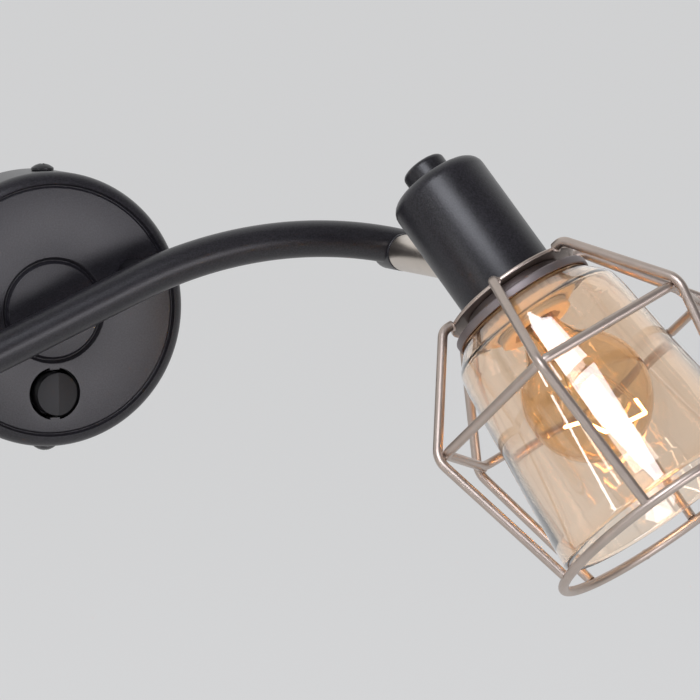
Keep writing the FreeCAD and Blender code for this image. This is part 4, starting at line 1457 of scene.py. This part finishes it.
@dataclass
class Shade:
    """The blown glass shade with the lampholder and the ring that clamps it."""

    head: Head
    top: float = 31.2
    wall: float = 2.2
    hole: float = 14.5
    neck: tuple = (25.4, 33.6)
    shoulder: tuple = (31.7, 40.6)
    side: tuple = (33.0, 47.5)
    mouth: tuple = (40.2, 116.0)
    rim: float = 3.0
    rim_fades: float = 2.4
    holder: float = 13.9
    holder_top: float = -9.0
    holder_mouth: float = 41.0
    holder_flange: tuple = (16.4, 2.4)
    socket: tuple = (9.2, 9.0)
    bore: tuple = (7.35, 12.0)
    skirt_thread: tuple = (9.4, 1.7, 0.55)
    ring_radius: float = 19.5
    ring_height: float = 4.6
    ring_top: tuple = (15.8, 2.6)
    ring_gap: float = 0.1
    ring_steps: int = 144
    ridge_depth: float = 0.45

    def glass(self) -> None:
        """Blow the shade: flat neck, round shoulder, slightly flared side and a fire-polished rim."""
        wall, half = self.wall, self.rim / 2
        radius, end = self.mouth
        outside = [
            (self.hole, self.top, SOFT), (self.neck[0], self.top, 0.9), (*self.neck, 1.2),
            (*self.shoulder, 5.0), (*self.side, 16.0),
        ]
        self.head.add(Form().lathe([
            *outside, (radius, end - half), *arc((radius - half, end - half), half, 0, 180, 12)[1:],
            (radius - wall, end - self.rim * self.rim_fades, 4),
            *parallel([*outside, (radius, end)], wall)[1:],
        ], LARGE), "blown_shade", AMBER, ["glass_shade"], 60)

    def lampholder(self) -> None:
        """Turn the lampholder with its flange and threaded skirt."""
        r, top, mouth, flange = self.holder, self.holder_top, self.holder_mouth, self.head.cup_mouth
        wide, thick = self.holder_flange
        opening, deep = self.socket
        bore, floor = self.bore
        below, pitch, cut = self.skirt_thread
        turn = [(r, 0, CRISP), (r - cut, 0.5, CRISP), (r - cut, 0.9, CRISP), (r, 1.4, CRISP)]
        self.head.add(Form().lathe([
            (0, top), (r, top, 0.8), (r, flange - thick), (wide, flange - thick, EASED),
            (wide, flange, EASED), (r, flange), *thread(turn, mouth - below, pitch, 5),
            (r, mouth - 0.4, EASED), (r - 0.6, mouth, EASED), (opening, mouth, SOFT),
            (opening, mouth - deep, EASED), (bore, mouth - deep), (bore, floor, SOFT), (0, floor),
        ], SMALL), "holder", HOLDER_PLASTIC, ["lampholder"])

    def ring(self) -> None:
        """Turn the clamp ring and press finger ridges into its edge."""
        low, wide, inner = self.top + self.wall, self.ring_radius, self.holder + self.ring_gap
        high, (narrow, upright) = low + self.ring_height, self.ring_top
        form = Form().lathe([
            (inner, low, CRISP), (wide, low, SOFT), (wide, low + upright, SOFT), (narrow, high, SOFT),
            (inner, high, CRISP),
        ], self.ring_steps)
        for vert in form.bm.verts:
            reach = math.hypot(vert.co.x, vert.co.y)
            step = round(math.atan2(vert.co.y, vert.co.x) / math.tau * self.ring_steps) % 4
            if reach > wide - 0.5 and step < 2:
                vert.co.xy *= (reach - self.ridge_depth) / reach
        self.head.add(form, "clamp_ring", HOLDER_PLASTIC, ["shade_ring"])

    def build(self) -> None:
        """Build the shade and what holds it."""
        self.glass()
        self.lampholder()
        self.ring()


# The filament's supports, in the head's millimetres.
FILAMENT_LINE = [
    (4.75, -11.6, 74.0), (-5.65, -8.6, 78.0), (-8.75, -5.5, 85.5), (-10.1, 2.0, 86.5), (-5.7, 11.3, 86.0),
    (-1.1, 13.3, 79.5),
]


@dataclass
class Bulb:
    """The ball bulb: glass, screw cap, press, leads and a wound filament held on supports."""

    head: Head
    cap: float = 6.95
    cap_at: float = 19.5
    cap_length: float = 19.5
    cap_bore: float = 6.2
    cap_thread: tuple = (3.5, 2.8, 0.7)
    tip: tuple = (2.4, 15.0)
    insulator: float = 5.6
    shell: float = 0.8
    neck: float = 6.9
    neck_flare: tuple = (0.6, 5.0)
    ball: float = 22.5
    ball_at: float = 70.0
    ball_steps: int = 28
    throat: float = 11.5
    press: tuple = (3.0, 40.0, 17.0)
    press_foot: float = 5.4
    lead: float = 0.32
    coil: tuple = (0.5, 0.16, 0.42)
    glow_at: float = 76.0
    glow_power: float = 0.07
    glow_colour: tuple = (1.0, 0.80, 0.60)
    glow_size: float = 0.012

    def neck_at(self) -> float:
        """Give the height at which the glass leaves the cap."""
        return self.cap_at + self.cap_length

    def glass(self) -> None:
        """Blow the ball with its short neck."""
        wall, at, outer, steps = self.shell, self.ball_at, self.ball, self.ball_steps
        inner, low = outer - wall, self.neck_at()
        flare, rise = self.neck_flare
        wide = self.neck + flare
        outside = arc((0, at), outer, -math.degrees(math.acos(self.throat / outer)), 90, steps)
        inside = arc((0, at), inner, 90, -math.degrees(math.acos((self.throat - wall) / inner)), steps)
        self.head.add(Form().lathe([
            (self.neck, low), (wide, low + rise, 6), *outside[:-1], (0, at + outer), (0, at + inner),
            *inside[1:], (wide - wall, low + rise, 6), (self.neck - wall, low),
        ], FINE), "bulb_ball", BULB_GLASS, ["bulb_glass"], 60)

    def screw_cap(self) -> None:
        """Roll the threaded cap with its insulator and centre contact."""
        low, r, bore, (tip, tip_at) = self.cap_at, self.cap, self.cap_bore, self.tip
        above, pitch, cut = self.cap_thread
        turn = [(r, 0, 0.5), (r - cut, 0.9, SOFT), (r, 1.9, 0.5)]
        self.head.add(Form().lathe([
            (0, tip_at), (tip, tip_at, 0.6), (tip, tip_at + 2.0), (self.insulator, low, EASED),
            (r - 0.6, low + 2.0, SOFT), *thread(turn, low + above, pitch, 5), (r, self.neck_at(), CRISP),
            (bore, self.neck_at()), (bore, low + 2.4), (0, low + 2.4),
        ], SMALL), "bulb_screw_cap", BRASS, ["bulb_cap"])

    def inside(self) -> None:
        """Build the glass press, the leads, the supports and the filament."""
        r, at, length = self.press
        low, high = self.neck_at() - 1, at + length
        press = Form().lathe([
            (0, low), (self.press_foot, low, SOFT), (r, at + 5, 3), (r - 0.8, high - 2, 0.8), (0, high),
        ], ROUGH)
        self.head.add(press, "bulb_press", PRESS_GLASS, [])
        line = [Vector(p) for p in FILAMENT_LINE]
        foot = high - 2.5
        wires = Form()
        for k, point in enumerate(line):
            drop, thick = (4, self.lead) if k in (0, len(line) - 1) else (0, self.lead * 0.6)
            side = point.xy.normalized() * 1.1
            base = Vector((side.x, side.y, foot - drop))
            bend = Vector((point.x * 0.75, point.y * 0.75, (foot + point.z) / 2 + 2))
            wires.rod([base, bend, point], [3.0], thick, sides=8)
        self.head.add(wires, "bulb_leads", LEAD, [])
        filament = Form()
        for start, end in zip(line, line[1:]):
            filament.coil(start, end, *self.coil)
        self.head.add(filament, "bulb_filament", GLOW, ["filament"], 60)

    def glow(self) -> None:
        """Let the filament light what is round it, as it moves with the head."""
        lamp = bpy.data.lights.new(f"glow_{self.head.word}", "POINT")
        lamp.energy, lamp.color, lamp.shadow_soft_size = self.glow_power, self.glow_colour, self.glow_size
        light = bpy.data.objects.new(lamp.name, lamp)
        bpy.context.scene.collection.objects.link(light)
        light.location = self.head.place().matrix() @ Vector((0, 0, self.glow_at))
        light.visible_camera = light.visible_glossy = light.visible_transmission = False
        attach(light, Body.HEAD.on(self.head.word))

    def build(self) -> None:
        """Build the bulb."""
        self.glass()
        self.screw_cap()
        self.inside()
        self.glow()


@dataclass(frozen=True)
class Softbox:
    """A soft light.

    It is placed in degrees to the right of the front and up, and sized in metres. A shine of 1 is white.
    """

    name: str
    azimuth: float
    elevation: float
    away: float
    size: tuple
    shine: float
    tint: tuple = (1, 1, 1)

    def hang(self, aim: Vector) -> None:
        """Hang the light.

        Args:
            aim: The point at which it looks, in metres.
        """
        turn, rise = math.radians(self.azimuth), math.radians(self.elevation)
        way = Vector((math.sin(turn) * math.cos(rise), -math.cos(turn) * math.cos(rise), math.sin(rise)))
        data = bpy.data.lights.new(self.name, "AREA")
        width, height = self.size
        data.shape, data.size, data.size_y = "RECTANGLE", width, height
        data.energy = self.shine * math.pi * width * height
        data.color = self.tint
        light = bpy.data.objects.new(self.name, data)
        light.location = aim + way * self.away
        light.rotation_euler = way.to_track_quat("Z", "Y").to_euler()
        light.visible_camera = False
        bpy.context.scene.collection.objects.link(light)


@dataclass
class Studio:
    """The camera, the pale floor, the world and the soft lights."""

    camera_at: tuple = (-347.33, -1128.35, 112.5)
    yaw: float = 22.81
    pitch: float = 6.281
    roll: float = 0.154
    lens: float = 164.571
    sensor: float = 36.0
    clip: tuple = (0.05, 9000)
    floor_at: float = -0.35
    floor_size: float = 6000.0
    floor_matt: tuple = tone(0.8, 0.8, 0.8)
    floor_lit: float = 0.6
    pale: tuple = tone(0.83, 0.835, 0.84)
    soft: tuple = tone(0.42, 0.42, 0.43)
    front: tuple = tone(0.215, 0.21, 0.212)
    fades: tuple = (-0.25, 0.35)
    aim: tuple = (0.06, -0.09, -0.02)
    lights: tuple = (
        Softbox("key", -38, 36, 1.3, (0.75, 0.58), 7.0, (0.90, 0.92, 1.0)),
        Softbox("fill", 18, -7, 1.6, (0.9, 0.7), 4.1, (0.965, 0.935, 1.0)),
        Softbox("strip", -66, -2, 1.2, (0.04, 1.0), 9.0),
    )

    def camera(self) -> None:
        """Set the camera at the photograph's viewing angle."""
        yaw, pitch, roll = (math.radians(a) for a in (self.yaw, self.pitch, self.roll))
        ahead = Vector((math.sin(yaw) * math.cos(pitch), math.cos(yaw) * math.cos(pitch), -math.sin(pitch)))
        level = Vector((math.cos(yaw), -math.sin(yaw), 0))
        above = level.cross(ahead)
        right = level * math.cos(roll) + above * math.sin(roll)
        up = above * math.cos(roll) - level * math.sin(roll)
        data = bpy.data.cameras.new("view")
        data.lens, data.sensor_width, data.sensor_fit = self.lens, self.sensor, "HORIZONTAL"
        data.clip_start, data.clip_end = self.clip
        camera = bpy.data.objects.new("view", data)
        turn = Matrix((right, up, -ahead)).transposed().to_4x4()
        camera.matrix_world = Matrix.Translation(Vector(self.camera_at) * MM) @ turn
        bpy.context.scene.collection.objects.link(camera)
        bpy.context.scene.camera = camera

    def floor(self) -> None:
        """Lay a pale floor that keeps the lamp's shadow."""
        form = Form()
        bmesh.ops.create_grid(form.bm, x_segments=1, y_segments=1, size=self.floor_size / 2)
        bmesh.ops.translate(form.bm, vec=(0, 0, self.floor_at), verts=form.bm.verts)
        mesh = bpy.data.meshes.new("floor")
        form.bm.to_mesh(mesh)
        form.bm.free()
        pale = bpy.data.materials.new("pale_floor")
        pale.use_nodes = True
        graph = Graph(pale.node_tree)
        matt = graph.node("ShaderNodeBsdfDiffuse", {}, {"Color": self.floor_matt})
        lit = graph.node("ShaderNodeEmission", {}, {"Color": self.pale, "Strength": 1.0})
        share = graph.seen("Is Camera Ray", "Is Glossy Ray", "Is Transmission Ray") * self.floor_lit
        graph.shade(graph.node("ShaderNodeMixShader", {}, {0: share, 1: matt, 2: lit}))
        mesh.materials.append(pale)
        floor = bpy.data.objects.new("floor", mesh)
        bpy.context.scene.collection.objects.link(floor)

    def world(self) -> None:
        """Make a soft surround that is pale to the eye and behind the lamp, and dim in front of it."""
        world = bpy.data.worlds.new("studio")
        bpy.context.scene.world = world
        world.use_nodes = True
        graph = Graph(world.node_tree, "ShaderNodeOutputWorld")
        heading = graph.node("ShaderNodeTexCoord", out="Generated")
        depth = graph.node("ShaderNodeSeparateXYZ", {}, {0: heading}, "Y")
        near, far = self.fades
        behind = graph.node("ShaderNodeMapRange", {"interpolation_type": "SMOOTHSTEP"}, {
            "Value": depth, "From Min": near, "From Max": far, "To Min": 0.0, "To Max": 1.0,
        })
        mirrored = graph.mix(behind, self.front, self.pale)
        others = graph.mix(graph.seen("Is Glossy Ray"), self.soft, mirrored)
        colour = graph.mix(graph.seen("Is Camera Ray", "Is Transmission Ray"), others, self.pale)
        graph.shade(graph.node("ShaderNodeBackground", {}, {"Color": colour, "Strength": 1.0}))

    def build(self) -> None:
        """Build the studio."""
        self.camera()
        self.floor()
        self.world()
        for light in self.lights:
            light.hang(Vector(self.aim))
        bpy.context.scene.view_settings.view_transform = "Standard"


def main() -> None:
    """Build the lamp piece by piece."""
    logging.basicConfig(level=logging.INFO, format="%(name)s: %(message)s")
    Studio().build()
    base = Base()
    base.build()
    Arm().build(base.place())
    for word in ("right", "left"):
        Swivel(word).build()
        head = Head(word)
        head.build()
        Shade(head).build()
        Bulb(head).build()


if __name__ == "__main__":
    main()
